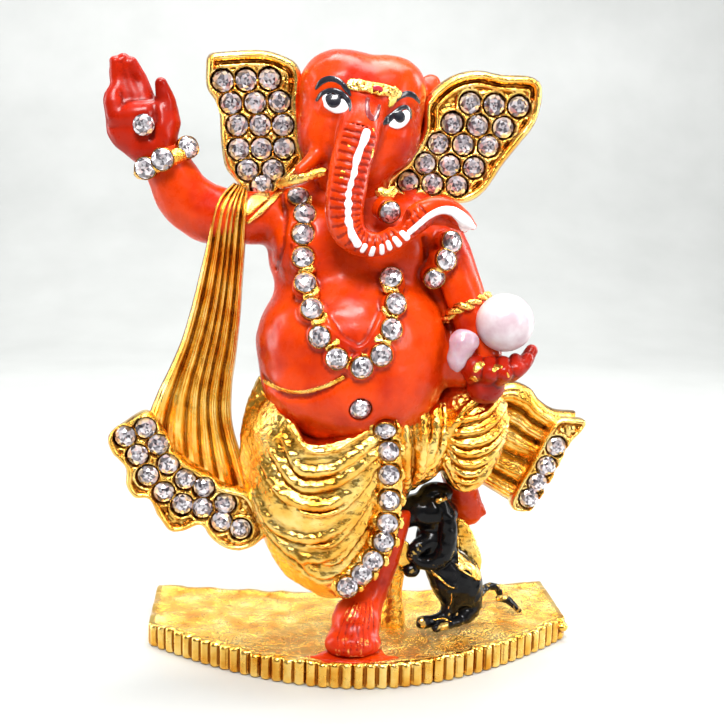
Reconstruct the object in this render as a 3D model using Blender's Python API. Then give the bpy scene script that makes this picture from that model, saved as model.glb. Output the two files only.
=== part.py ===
"""Stone-set Ganesha idol: a small gold-plated, enamelled figure dancing on a ribbed base beside his mouse.

The frame is +Z up and -Y towards the viewer, with the origin at the centre of the base's underside.
Right and left are the figure's own. Lengths are in millimetres here and become metres in mesh_object.
"""

import math

import bmesh
import bpy
from mathutils import Matrix, Vector
from mathutils.bvhtree import BVHTree

MM = 0.001
GAP = 0.3  # clear space between two pieces that touch

# Driving dimensions
BASE_WIDTH = 64.0
BASE_SIDE = 15.5  # length of the straight ends, front to back
BASE_FRONT_BULGE = 16.2  # how far the curved front stands out from the ends
BASE_BACK_HOLLOW = 4.0  # how far the back edge curves in
BASE_THICKNESS = 3.8
BASE_CORNER_Y = BASE_FRONT_BULGE - (BASE_SIDE + BASE_FRONT_BULGE) / 2
RIB_COUNT = 43
RIB_HEIGHT = 0.35
STONE_RADIUS = 1.5  # crystals of 3 mm
STONE_DEPTH = 1.3
STONE_LIFT = 0.35
GEM_SIDES = 6
BED_RADIUS = 0.4
PEARL_RADIUS = 4.0
SHARP_ANGLE = math.radians(38)

GOLD = ("gold_plate", (0.95, 0.62, 0.16), 1.0, 0.28)
ENAMEL = ("red_enamel", (0.72, 0.07, 0.02), 0.0, 0.18)
BLACK = ("black_enamel", (0.012, 0.012, 0.015), 0.0, 0.15)
CRYSTAL = ("crystal", (0.82, 0.80, 0.84), 0.6, 0.05)
PEARL = ("pearl", (0.92, 0.86, 0.88), 0.1, 0.18)
RESIN = ("clear_resin", (0.93, 0.78, 0.80), 0.0, 0.12)
RUBY = ("ruby", (0.45, 0.0, 0.03), 0.2, 0.06)


CLEARANCES = {}  # for each piece made of several shapes, the grown copies of those shapes


# Building blocks


def clear_scene():
    for old in list(bpy.data.objects):
        bpy.data.objects.remove(old)


def finish_of(finish):
    """The Principled material for one of the finishes above, made once."""
    name, colour, metallic, roughness = finish
    made = bpy.data.materials.get(name)
    if made is None:
        made = bpy.data.materials.new(name)
        made.use_nodes = True
        shader = made.node_tree.nodes["Principled BSDF"]
        shader.inputs["Base Color"].default_value = (*colour, 1.0)
        shader.inputs["Metallic"].default_value = metallic
        shader.inputs["Roughness"].default_value = roughness
    return made


def mesh_object(name, bm, finish):
    """An object from a bmesh in millimetres, with its faces pointing out."""
    bmesh.ops.recalc_face_normals(bm, faces=bm.faces)
    if bm.calc_volume(signed=True) < 0:
        bmesh.ops.reverse_faces(bm, faces=bm.faces)
    bmesh.ops.scale(bm, vec=(MM, MM, MM), verts=bm.verts)
    mesh = bpy.data.meshes.new(name)
    bm.to_mesh(mesh)
    bm.free()
    mesh.materials.append(finish_of(finish))
    made = bpy.data.objects.new(name, mesh)
    bpy.context.scene.collection.objects.link(made)
    return made


def skin(bm, rings):
    """Joins rings of points with quads and closes both ends."""
    loops = [[bm.verts.new(point) for point in ring] for ring in rings]
    for low, high in zip(loops, loops[1:]):
        for i in range(len(low)):
            j = (i + 1) % len(low)
            bm.faces.new((low[i], low[j], high[j], high[i]))
    bm.faces.new(list(reversed(loops[0])))
    bm.faces.new(loops[-1])


def stack(name, rings, finish, sides=16):
    """A body through level ellipses, each given as (x, y, z, half width, half depth)."""
    bm = bmesh.new()
    turns = [2 * math.pi * k / sides for k in range(sides)]
    skin(bm, [[(x + rx * math.cos(a), y + ry * math.sin(a), z) for a in turns] for x, y, z, rx, ry in rings])
    return mesh_object(name, bm, finish)


def along(points, steps):
    """A smooth open curve through the points: steps places from each one to the next."""
    rows = [Vector(p) for p in points]
    ends = [2 * rows[0] - rows[1], *rows, 2 * rows[-1] - rows[-2]]
    curve = []
    for a, b, c, d in zip(ends, ends[1:], ends[2:], ends[3:]):
        for k in range(steps):
            t = k / steps
            curve.append(0.5 * (2 * b + (c - a) * t + (2 * a - 5 * b + 4 * c - d) * t**2
                                + (3 * b - a - 3 * c + d) * t**3))
    return [*curve, rows[-1]]


def limb(name, bones, finish, sides=10, steps=2, flat=1.0):
    """A round limb with domed ends through bones, each (x, y, z, radius). flat thins it along Y."""
    path = along(bones_as_4d(bones), steps)
    centres = [p.xyz for p in path]
    radii = [p.w for p in path]
    start = (centres[1] - centres[0]).normalized()
    end = (centres[-1] - centres[-2]).normalized()
    centres = [centres[0] - start * radii[0] * 0.6, *centres, centres[-1] + end * radii[-1] * 0.6]
    radii = [radii[0] * 0.6, *radii, radii[-1] * 0.6]
    side = Vector((0, 1, 0)) if abs(start.y) < 0.8 else Vector((1, 0, 0))
    rings = []
    for i, (centre, radius) in enumerate(zip(centres, radii)):
        ahead = (centres[min(i + 1, len(centres) - 1)] - centres[max(i - 1, 0)]).normalized()
        side = (side - ahead * side.dot(ahead)).normalized()
        up = ahead.cross(side)
        turns = [2 * math.pi * k / sides for k in range(sides)]
        rings.append([centre + side * radius * flat * math.cos(a) + up * radius * math.sin(a) for a in turns])
    bm = bmesh.new()
    skin(bm, rings)
    return mesh_object(name, bm, finish)


def bones_as_4d(bones):
    return [Vector(bone) for bone in bones]


def ball(name, centre, radii, finish, segments=14, rings=8, turn=(0, 0, 0)):
    bm = bmesh.new()
    shape = Matrix.Translation(centre) @ rotation(turn) @ Matrix.Diagonal((*radii, 1))
    bmesh.ops.create_uvsphere(bm, u_segments=segments, v_segments=rings, radius=1, matrix=shape)
    return mesh_object(name, bm, finish)


def rotation(turn):
    """A rotation from degrees about X, then Y, then Z."""
    made = Matrix.Identity(4)
    for angle, axis in zip(turn, "XYZ"):
        made = Matrix.Rotation(math.radians(angle), 4, axis) @ made
    return made


def plate(name, outline, y_front, thickness, finish, lean=0.0, pivot_x=0.0):
    """A flat piece facing the front. outline is (x, z) points; lean brings its outer end forward."""
    bm = bmesh.new()
    faces = (y_front + thickness, y_front)
    skin(bm, [[(x, y - lean * abs(x - pivot_x), z) for x, z in outline] for y in faces])
    return mesh_object(name, bm, finish)


def sheet(name, rows, thickness, finish):
    """A closed sheet of cloth from rows of points, made thick towards the back."""
    bm = bmesh.new()
    front = [[bm.verts.new(point) for point in row] for row in rows]
    back = [[bm.verts.new(Vector(point) + Vector((0, thickness, 0))) for point in row] for row in rows]
    last_row, last = len(rows) - 1, len(rows[0]) - 1
    for i in range(last_row):
        for j in range(last):
            bm.faces.new((front[i][j], front[i][j + 1], front[i + 1][j + 1], front[i + 1][j]))
            bm.faces.new((back[i][j], back[i + 1][j], back[i + 1][j + 1], back[i][j + 1]))
    rim = [(0, j) for j in range(last)] + [(i, last) for i in range(last_row)]
    rim += [(last_row, j) for j in range(last, 0, -1)] + [(i, 0) for i in range(last_row, 0, -1)]
    for (i, j), (k, m) in zip(rim, rim[1:] + rim[:1]):
        bm.faces.new((front[i][j], back[i][j], back[k][m], front[k][m]))
    return mesh_object(name, bm, finish)


def bake(obj):
    """Replaces an object's mesh with what its modifiers make of it."""
    graph = bpy.context.evaluated_depsgraph_get()
    made = bpy.data.meshes.new_from_object(obj.evaluated_get(graph), depsgraph=graph)
    obj.modifiers.clear()
    obj.data = made


def join(name, parts):
    """Unites simple shapes into one piece, and keeps a grown copy of each for its neighbours' clearance."""
    CLEARANCES[name] = [grown(part, GAP) for part in parts]
    whole, *others = parts
    for other in others:
        step = whole.modifiers.new("union", "BOOLEAN")
        step.operation = "UNION"
        step.solver = "EXACT"
        step.object = other
        bake(whole)
        bpy.data.objects.remove(other)
    whole.name = name
    return whole


def clean_mesh(obj):
    """Keeps the largest body of a mesh and merges the slivers that a cut leaves."""
    bm = bmesh.new()
    bm.from_mesh(obj.data)
    bmesh.ops.remove_doubles(bm, verts=bm.verts, dist=0.004 * MM)
    bmesh.ops.dissolve_degenerate(bm, edges=bm.edges, dist=0.004 * MM)
    todo, bodies = set(bm.faces), []
    while todo:
        seed = todo.pop()
        body, fresh = {seed}, [seed]
        while fresh:
            face = fresh.pop()
            beside = {other for edge in face.edges for other in edge.link_faces} - body
            body |= beside
            fresh += beside
        todo -= body
        bodies.append(body)
    largest = max(bodies, key=lambda body: sum(face.calc_area() for face in body))
    bmesh.ops.delete(bm, geom=[face for face in bm.faces if face not in largest], context="FACES")
    bm.to_mesh(obj.data)
    bm.free()


def grown(obj, by):
    """A helper copy of obj that stands out from it by a distance."""
    bm = bmesh.new()
    bm.from_mesh(obj.data)
    bm.normal_update()
    moves = [(v, v.normal * by * MM * min(v.calc_shell_factor(), 1.6)) for v in bm.verts]
    for vert, move in moves:
        vert.co += move
    mesh = bpy.data.meshes.new("clearance")
    bm.to_mesh(mesh)
    bm.free()
    made = bpy.data.objects.new("clearance", mesh)
    bpy.context.scene.collection.objects.link(made)
    made.hide_render = True
    made.display_type = "WIRE"
    return made


def tree_of(obj):
    """A search tree over an object's faces."""
    bm = bmesh.new()
    bm.from_mesh(obj.data)
    tree = BVHTree.FromBMesh(bm)
    bm.free()
    return tree


def fit_together(pieces):
    """Cuts each piece back from every piece before it, so that neighbours meet with a fine gap."""
    cutters = []
    for piece in pieces:
        own = CLEARANCES.get(piece.name) or [grown(piece, GAP)]
        shape = tree_of(piece)
        for cutter in cutters:
            if shape.overlap(tree_of(cutter)):
                step = piece.modifiers.new("clearance", "BOOLEAN")
                step.operation = "DIFFERENCE"
                step.solver = "EXACT"
                step.object = cutter
        bake(piece)
        clean_mesh(piece)
        cutters += own
    for cutter in cutters:
        bpy.data.objects.remove(cutter)


# Placing things on a surface


def front_of(hosts, x, z):
    """The foremost point of the hosts at (x, z), and the direction that the surface faces there."""
    start = Vector((x, -60, z)) * MM
    hits = []
    for host in hosts:
        point, facing, _, _ = tree_of(host).ray_cast(start, Vector((0, 1, 0)))
        if point is not None:
            hits.append((point.y, point / MM, facing))
    _, point, facing = min(hits, key=lambda hit: hit[0])
    return point, facing


def strip(name, hosts, places, radius, finish, rise=0.0, flat=0.7):
    """A rounded band that follows the front of its hosts through (x, z) places."""
    bones = []
    for x, z in places:
        point, facing = front_of(hosts, x, z)
        bones.append((*(point + facing * rise), radius))
    return limb(name, bones, finish, sides=8, steps=1, flat=flat)


def gem(place, facing):
    """One cut crystal: a round girdle with a smaller flat table, standing just clear of its setting."""
    bm = bmesh.new()
    middle = place + facing * (STONE_LIFT + STONE_DEPTH / 2)
    stand = Matrix.Translation(middle) @ facing.to_track_quat("Z", "Y").to_matrix().to_4x4()
    bmesh.ops.create_cone(bm, cap_ends=True, segments=GEM_SIDES, radius1=STONE_RADIUS,
                          radius2=STONE_RADIUS * 0.7,
                          depth=STONE_DEPTH, matrix=stand)
    return mesh_object("gem", bm, CRYSTAL)


def stones(name, hosts, places):
    """A row of crystals that thin lines of adhesive hold together, named as one piece."""
    seats = [front_of(hosts, x, z) for x, z in places]
    gems = [gem(point, facing) for point, facing in seats]
    beds = [point + facing * (STONE_LIFT + BED_RADIUS + 0.1) for point, facing in seats]
    links = [cuff("link", low, high, BED_RADIUS, CRYSTAL, sides=4) for low, high in zip(beds, beds[1:])]
    return join(name, gems + links)


# The base


def base_outline():
    """The base seen from above: a ribbed arc in front, straight ends and a hollow back."""
    half = BASE_WIDTH / 2
    radius = (half**2 + BASE_FRONT_BULGE**2) / (2 * BASE_FRONT_BULGE)
    centre_y = BASE_CORNER_Y - BASE_FRONT_BULGE + radius
    reach = math.asin(half / radius)
    points = []
    for k in range(RIB_COUNT):
        for part, out in ((0.08, 0), (0.3, RIB_HEIGHT), (0.7, RIB_HEIGHT), (0.92, 0)):
            turn = -reach + 2 * reach * (k + part) / RIB_COUNT
            reached = radius - RIB_HEIGHT + out
            points.append((reached * math.sin(turn), centre_y - reached * math.cos(turn)))
    points.append((half, BASE_CORNER_Y))
    back_y = BASE_CORNER_Y + BASE_SIDE
    for k in range(13):
        across = 1 - k / 6
        points.append((half * across, back_y - BASE_BACK_HOLLOW * (1 - across**2)))
    points.append((-half, BASE_CORNER_Y))
    return points


def base_plate():
    bm = bmesh.new()
    outline = base_outline()
    skin(bm, [[(x, y, z) for x, y in outline] for z in (0, BASE_THICKNESS)])
    return mesh_object("base_plate", bm, GOLD)


# The figure's body


def dhoti():
    return stack("dhoti", [(-3.6, -4, 9.8, 1.8, 2.6), (-5, -3.5, 13, 7.2, 6), (-5.6, -3, 18, 10.6, 8),
                           (-6, -3, 24, 11.7, 9), (-5.8, -2.5, 30, 12.1, 10), (-4.8, -2, 36, 12.9, 10),
                           (-3, -2, 39.5, 12.6, 9.3)], GOLD)


def left_knee_drape():
    return limb("left_knee_drape", [(4, -1, 33.5, 6.5), (11, -3, 33, 7.2), (15, -4, 32.2, 6.2)], GOLD,
                sides=12)


def torso():
    return stack("torso", [(-3, -2, 36.5, 9, 7.5), (-2.4, -3, 38.5, 12.3, 9.3), (-2, -3, 42.5, 13.7, 10.4),
                           (-2.4, -3, 47.5, 13.4, 10.2), (-2.5, -2.6, 52.5, 12.5, 9.2),
                           (-2.7, -1.6, 57.5, 11.4, 7.6),
                           (-3.4, -0.6, 62, 11.4, 6.2), (-3.7, -0.2, 66, 9, 5.4), (-3, -0.2, 69, 5, 4.4)],
                 ENAMEL)


def head():
    return stack("head", [(-2.4, -1.5, 67.5, 5, 4.8), (-2.5, -2.3, 70, 7.4, 6.3), (-1.6, -2.5, 74, 9.3, 7.6),
                          (-1.2, -2.5, 78.5, 9.8, 8), (-1.5, -2.2, 82.5, 8.9, 7.4), (-1.7, -2, 85.6, 6, 5.4),
                          (-1.6, -2, 87, 2.6, 2.4)], ENAMEL, sides=18)


def trunk():
    return limb("trunk", [(-3.1, -7.4, 78.4, 3.1), (-3.4, -10.6, 73.4, 2.7), (-3.9, -12, 69.5, 2.4),
                          (-3.8, -12.6, 65.7, 2.3), (-2.5, -12.9, 62.8, 2.2), (0.6, -13, 61.5, 2.1),
                          (3.9, -13, 62.2, 2), (6.7, -12.8, 64.3, 1.9), (9.6, -12.4, 65.5, 1.6),
                          (12.6, -12, 64.2, 0.9), (14.2, -12, 63.1, 0.4)], ENAMEL)


def right_lip():
    return limb("right_lip", [(-7.4, -8.2, 72.4, 1.1), (-10.6, -9.4, 70.4, 0.7)], ENAMEL, sides=8)


def right_tusk():
    return limb("right_tusk", [(-7.6, -7, 69.9, 0.7), (-12.4, -9.6, 68.7, 0.55)], GOLD, sides=8)


def toward_middle(outline, inset):
    """The outline moved in towards its middle by a distance."""
    middle = sum((Vector(point) for point in outline), Vector((0, 0))) / len(outline)
    return [Vector(point) + (middle - Vector(point)).normalized() * inset for point in outline]


def ear_field(name, outline, pivot_x):
    """The sunken plate of an ear, inside its rim."""
    return plate(name, toward_middle(outline, EAR_RIM + GAP), -1.2, 2.4, GOLD, EAR_LEAN, pivot_x)


def ear_rim(name, outline, pivot_x):
    """The raised edge that runs all round an ear."""
    bm = bmesh.new()
    rings = []
    for depth, inset in ((-2.6, 0.3), (-2.6, EAR_RIM), (1.2, EAR_RIM), (1.2, 0), (-1.8, 0)):
        rings.append([bm.verts.new((x, depth - EAR_LEAN * abs(x - pivot_x), z))
                      for x, z in toward_middle(outline, inset)])
    for low, high in zip(rings, rings[1:] + rings[:1]):
        for i in range(len(outline)):
            j = (i + 1) % len(outline)
            bm.faces.new((low[i], low[j], high[j], high[i]))
    return mesh_object(name, bm, GOLD)


RIGHT_EAR = [(-10.6, 82.9), (-11.8, 85.3), (-15.7, 86.4), (-19.4, 86.2), (-23.2, 84.9), (-23.0, 81.2),
             (-21.1, 77.2), (-20.9, 71.3), (-17.4, 67.6), (-14.7, 65.8), (-12.6, 67.6), (-10.2, 71.5),
             (-10.2, 77)]
LEFT_EAR = [(8.3, 80), (11.9, 83.7), (14.7, 84.7), (21.9, 84.2), (23.3, 81.9), (22.9, 78.5), (18.1, 72.1),
            (15.4, 67.8), (11.9, 66.6), (7, 67.4), (2.2, 67.6), (1.8, 69.2), (5.2, 72.5), (7.6, 76.4)]
EAR_LEAN = 0.05  # how much each millimetre outwards brings an ear forwards
EAR_RIM = 1.3


def row(left, right, count):
    """Evenly spaced (x, z) places from left to right."""
    return [(left[0] + (right[0] - left[0]) * k / (count - 1),
             left[1] + (right[1] - left[1]) * k / (count - 1))
            for k in range(count)]


def right_ear_places():
    rows = [((-21, 82.3), (-14.7, 82.8), 3), ((-19.9, 79.4), (-13.3, 79.8), 3),
            ((-19, 76.5), (-12.8, 76.7), 3),
            ((-18.8, 73.3), (-12.6, 73.6), 3), ((-17.6, 70.5), (-14.1, 70.6), 2)]
    return serpentine(rows) + [(-15.6, 68.4)]


def left_ear_places():
    rows = [((13.2, 80.4), (20.0, 80.1), 3), ((10.8, 77.6), (18, 77.2), 3), ((9, 74.8), (16, 74.6), 3),
            ((7.2, 72.0), (14.1, 71.6), 3), ((4.9, 69.4), (11.8, 69), 3)]
    return serpentine(rows)


def serpentine(rows):
    """Rows of places joined end to end, with every other row turned round."""
    places = []
    for k, (left, right, count) in enumerate(rows):
        places += row(left, right, count) if k % 2 == 0 else row(right, left, count)
    return places


# Arms and hands


def right_upper_arm():
    return limb("right_upper_arm", [(-11, -0.8, 63.4, 3.6), (-17, -2.5, 62.6, 2.7), (-21.5, -3, 63, 2.9)],
                ENAMEL)


def right_forearm():
    return limb("right_forearm", [(-24.2, -3, 63.6, 3.3), (-26.2, -3.5, 67, 3.3), (-28.6, -4, 71.3, 2.7)],
                ENAMEL)


def cuff(name, start, end, radius, finish, sides=16):
    """A plain round band or rod from start to end."""
    bm = bmesh.new()
    start, end = Vector(start), Vector(end)
    stand = Matrix.Translation((start + end) / 2) @ (end - start).to_track_quat("Z", "Y").to_matrix().to_4x4()
    bmesh.ops.create_cone(bm, cap_ends=True, segments=sides, radius1=radius, radius2=radius,
                          depth=(end - start).length, matrix=stand)
    return mesh_object(name, bm, finish)


def right_bracelet():
    return cuff("right_bracelet", (-27.8, -4, 70), (-29.2, -4.1, 73), 3.4, GOLD)


def right_hand():
    palm = ball("right_hand", (-31.8, -4.6, 76.6), (4.5, 2, 5), ENAMEL, turn=(0, 12, 0))
    fingers = [((-34.6, 78.5), (-36.2, 81), (-36.1, 83.6)), ((-33.4, 79.8), (-34.4, 82.8), (-34.2, 85.2)),
               ((-31.8, 80), (-32.2, 83), (-32, 85.4)), ((-30.2, 79.4), (-30, 82), (-30.4, 83.8)),
               ((-29, 76.4), (-27.8, 78.6), (-28.3, 81.2))]
    digits = [limb("finger", [(x, -5 - k * 0.4, z, 1.15 - 0.15 * k) for k, (x, z) in enumerate(joints)],
                   ENAMEL,
                   sides=6, steps=1) for joints in fingers]
    return join("right_hand", [palm, *digits])


def left_upper_arm():
    return limb("left_upper_arm", [(5, -1.4, 63.8, 3.4), (9.4, -3.6, 60, 3.7), (11.6, -5.4, 55, 3.4)], ENAMEL)


def left_forearm():
    return limb("left_forearm", [(13.5, -6.2, 50.6, 2.7), (14.2, -7, 48.8, 2.4), (14.8, -7.8, 47, 2.2)],
                ENAMEL)


def left_bracelet():
    return cuff("left_bracelet", (13.1, -5.6, 53), (13.5, -6.1, 51.6), 3.3, GOLD)


def left_hand():
    palm = ball("left_hand", (16, -9, 44.9), (4.6, 3.8, 1.9), ENAMEL)
    fingers = [((17, 44.2), (20.5, 44.2), (22.4, 46.4)), ((16, 43.6), (19.5, 43), (21.8, 44)),
               ((13, 44), (11.6, 45), (11.4, 46.2))]
    digits = [limb("finger", [(x, -9.6 - k * 0.5, z, 1.2 - 0.15 * k) for k, (x, z) in enumerate(joints)],
                   ENAMEL,
                   sides=6, steps=1) for joints in fingers]
    return join("left_hand", [palm, *digits])


# Legs and feet


def standing_leg():
    leg = limb("standing_leg", [(2.4, -3.6, 18, 3.2), (0.9, -4.8, 11.5, 2.8), (-1.4, -6.4, 6.2, 2.7)], ENAMEL)
    foot = ball("foot", (-2.2, -9.6, 5.4), (3.2, 4.6, 2.4), ENAMEL, turn=(0, 0, -6))
    toes = [limb("toe", [(-4.3 + 1.25 * k, -12, 4.9, 1), (-4.9 + 1.4 * k, -13.8, 4.7, 0.8)], ENAMEL, sides=6,
                 steps=1) for k in range(4)]
    return join("standing_leg", [leg, foot, *toes])


def leg_strut():
    return limb("leg_strut", [(4.4, -1, 14, 1.8), (5.2, -1, 4.6, 1.5)], GOLD, sides=8)


def raised_foot():
    shin = limb("raised_foot", [(13.4, -0.5, 28, 2.8), (14.4, 1.2, 23.6, 2.4)], ENAMEL)
    sole = ball("sole", (16.2, 2, 20.2), (2.6, 1.7, 3.4), ENAMEL, segments=10, rings=6, turn=(0, -25, 0))
    return join("raised_foot", [shin, sole])


# Cloth that hangs


def pleated(name, left, right, waves, depth, y_at, thickness):
    """Cloth between a left and a right edge, both lists of (x, z) from top to bottom, with pleats down it."""
    columns = 2 * waves
    rows = []
    for (x0, z0), (x1, z1) in zip(left, right):
        points = []
        for k in range(columns + 1):
            t = k / columns
            points.append((x0 + (x1 - x0) * t, y_at + (depth if k % 2 else -depth), z0 + (z1 - z0) * t))
        rows.append(points)
    return sheet(name, rows, thickness, GOLD)


SHAWL_OUTER = [(-18.5, 68), (-20.6, 62.5), (-22.6, 55.3), (-25.2, 45.4), (-30, 38.2), (-32.6, 36.6)]
SHAWL_INNER = [(-13.7, 66), (-15.4, 60), (-16.4, 52), (-17.4, 42), (-17.8, 33), (-17.6, 25)]
HEM_TOP = [(-33.8, 36.9), (-30, 36), (-27.6, 32.8), (-26, 30.2), (-23.2, 28.6), (-19.6, 26.6), (-16.4, 25.4)]
HEM_BOTTOM = [(-36.6, 33.1), (-34.8, 29), (-32.4, 24.8), (-29.4, 22), (-26, 20.8), (-22, 18.6), (-15.8, 17.4)]
SCARF_TOP = [(18, 38.4), (21, 38.9), (25.2, 39.2), (29, 37.6), (32.4, 35)]
SCARF_BOTTOM = [(15.6, 27.2), (17.6, 25.4), (20.4, 23.2), (22.4, 21.6), (25.4, 22)]


def shawl():
    return pleated("shawl", SHAWL_OUTER, SHAWL_INNER, 5, 0.35, -2.2, 2)


def shawl_hem():
    rows = [[(x, y, z) for x, z in edge] for y, edge in ((-4, HEM_TOP), (-4.6, HEM_BOTTOM))]
    return sheet("shawl_hem", rows, 2.4, GOLD)


def scarf_end():
    rows = [[(x, y - 0.5 * (k % 2), z) for k, (x, z) in enumerate(edge)]
            for y, edge in ((1, SCARF_TOP), (1, SCARF_BOTTOM))]
    return sheet("scarf_end", rows, 2, GOLD)


def scarf_border():
    return plate("scarf_border",
                 [(29.6, 35.6), (32.9, 34.9), (32.4, 33.3), (25.8, 21.4), (22.6, 21.4)], -0.8, 2.4,
                 GOLD)


# The mouse beside the figure


def mouse_body():
    body = limb("mouse_body", [(14.4, -1.2, 9.2, 3.4), (13.4, -1.4, 13.5, 3.1), (11.6, -1.6, 18.4, 2.5)],
                BLACK)
    haunch = ball("haunch", (14.4, -3, 8.4), (3, 2, 3.4), BLACK, segments=10, rings=6, turn=(0, 20, 0))
    return join("mouse_body", [body, haunch])


def mouse_head():
    skull = ball("mouse_head", (10.6, -1.8, 22.3), (2.7, 2.2, 2.4), BLACK, segments=10, rings=6)
    snout = limb("snout", [(9.4, -2, 22, 1.5), (6.6, -2.4, 21.4, 0.8)], BLACK, sides=8, steps=1)
    return join("mouse_head", [skull, snout])


def mouse_ear():
    return ball("mouse_ear", (12.4, -3, 24), (1.7, 0.7, 1.9), BLACK, segments=10, rings=6)


def mouse_forearm():
    return limb("mouse_forearm", [(12, -3.4, 18, 1.1), (9.6, -4.4, 16.2, 0.95), (9, -4.6, 18.8, 0.8)], BLACK,
                sides=8)


def mouse_foot():
    return limb("mouse_foot", [(16.8, -3, 5.2, 1.3), (12.6, -3.8, 5, 1.2), (9.2, -4.6, 4.9, 0.9)], BLACK,
                sides=8)


def mouse_cape():
    return limb("mouse_cape", [(13.4, -1, 19, 1.2), (16.4, -0.8, 16.4, 1.3), (17.8, -0.6, 11.8, 1.1)], GOLD,
                sides=8)


def mouse_tail():
    lie = BASE_THICKNESS + 1
    return limb("mouse_tail", [(17.6, 2, lie + 0.6, 1), (20.4, 6, lie, 0.8), (24, 8.6, lie, 0.7),
                               (23, 5.4, lie, 0.7),
                               (25, 3.2, lie, 0.5)], BLACK, sides=6)


# The whole idol


def shade(pieces):
    """Smooth shading, with the edges sharper than SHARP_ANGLE kept crisp."""
    for piece in pieces:
        piece.data.shade_smooth()
        piece.data.set_sharp_from_angle(angle=SHARP_ANGLE)


def build():
    clear_scene()
    base = base_plate()
    skirt, belly, skull, nose = dhoti(), torso(), head(), trunk()
    knee = left_knee_drape()
    right_leaf = ear_field("right_ear", RIGHT_EAR, -10)
    left_leaf = ear_field("left_ear", LEFT_EAR, 6)
    right_rim = ear_rim("right_ear_rim", RIGHT_EAR, -10)
    left_rim = ear_rim("left_ear_rim", LEFT_EAR, 6)
    right_palm, cup = right_hand(), left_hand()
    right_arm, left_arm = right_upper_arm(), left_upper_arm()
    wrist, bangle = right_bracelet(), left_bracelet()
    cloth, hem = shawl(), shawl_hem()
    scarf, border = scarf_end(), scarf_border()

    necklace_places = around_neck()
    necklace = strip("necklace_setting", [belly], necklace_places, 1.5, GOLD)
    sash_places = [(1.4, 36.6), (2.1, 33.3), (2.3, 29.8), (2.5, 26), (2.4, 22.6), (1.9, 19.7), (0.4, 16.9),
                   (-1.1, 15), (-3.1, 13.2)]
    sash = strip("front_sash", [skirt, belly], [(0.6, 38.6), *sash_places, (-4.4, 11.8)], 1.9, GOLD)
    thread = strip("sacred_thread", [belly], [(-14.4, 42.4), (-12, 41.2), (-8.6, 41.2), (-4.6, 43.3)], 0.6,
                   GOLD)
    armlet_places = [(8, 56.8), (9.2, 59), (10, 61.4)]
    armlet = strip("left_armlet", [left_arm], armlet_places, 1.4, GOLD)
    band = strip("forehead_band", [skull], [(-3.8, 82.1), (-0.6, 81.5), (2.8, 80.6)], 1.2, GOLD)
    pendant = ball("pendant_setting", (0.9, -9, 66.2), (1.6, 1.6, 1.9), GOLD, segments=10, rings=6)

    settings = [
        stones("necklace_stones", [necklace, belly], necklace_places),
        stones("right_ear_stones", [right_leaf], right_ear_places()),
        stones("left_ear_stones", [left_leaf], left_ear_places()),
        stones("pendant_stone", [pendant], [(1.1, 65.6)]),
        stones("palm_stone", [right_palm], [(-31.2, 76.1)]),
        stones("bracelet_stones", [wrist], [(-30.4, 70.7), (-28.5, 71.7), (-26.3, 72.9)]),
        stones("armlet_stones", [armlet, left_arm], armlet_places),
        stones("navel_stone", [belly, skirt], [(-2.3, 39.5)]),
        stones("sash_stones", [sash, skirt], sash_places),
        stones("hem_stones", [hem], hem_places()),
        stones("scarf_stones", [border], [(28.3, 31.2), (27, 28.2), (25.8, 25.6), (24.6, 23.2)]),
    ]
    gem_on_band = ball("forehead_gem", (-0.7, -10.9, 81.6), (0.9, 0.7, 0.9), RUBY, segments=8, rings=6)
    pearl = ball("pearl", (17.8, -10, 50.7), (PEARL_RADIUS,) * 3, PEARL, segments=16, rings=10)
    bead = ball("glue_bead", (12, -10.6, 46.8), (1.9, 1.5, 2.7), RESIN, segments=10, rings=6)

    pieces = [
        base, *settings, gem_on_band, pearl, bead, band, pendant, necklace, sash, armlet, wrist, bangle, thread,
        hem, border, right_rim, left_rim, nose, right_lip(), right_tusk(), right_palm, cup, right_forearm(),
        left_forearm(), mouse_ear(), mouse_forearm(), mouse_head(), mouse_foot(), mouse_cape(), mouse_body(),
        mouse_tail(), skull, right_arm, left_arm, right_leaf, left_leaf, cloth, scarf, knee, raised_foot(),
        belly,
        skirt, standing_leg(), leg_strut(),
    ]
    fit_together(pieces)
    shade(pieces)


def around_neck():
    """Thirteen places down the figure's right side, round the bottom and up its left."""
    return [(-10.6, 66.6), (-9.8, 64.6), (-10, 61.8), (-10, 58.7), (-9.7, 55.4), (-8.9, 52.2), (-7.6, 49),
            (-5.4, 46.3),
            (-2.4, 45.2), (0.2, 46.8), (1.5, 50), (2.1, 53.2), (2.0, 56.4)]


def hem_places():
    """Two staggered rows of stones along the hem, joined end to end."""
    upper = [(-31.5, 34.6), (-29.8, 32.2), (-28.4, 29.4), (-26, 27.2), (-23.4, 26), (-20.4, 23.6)]
    lower = [(-18.2, 19.9), (-20.9, 21), (-23.6, 23), (-26.4, 23.6), (-29, 25.4), (-31.2, 27.8),
             (-32.6, 30.8),
             (-34.3, 33.4)]
    return upper + lower


build()
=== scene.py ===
import math

import bmesh
import bpy
import numpy as np
from mathutils import Matrix, Vector


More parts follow.
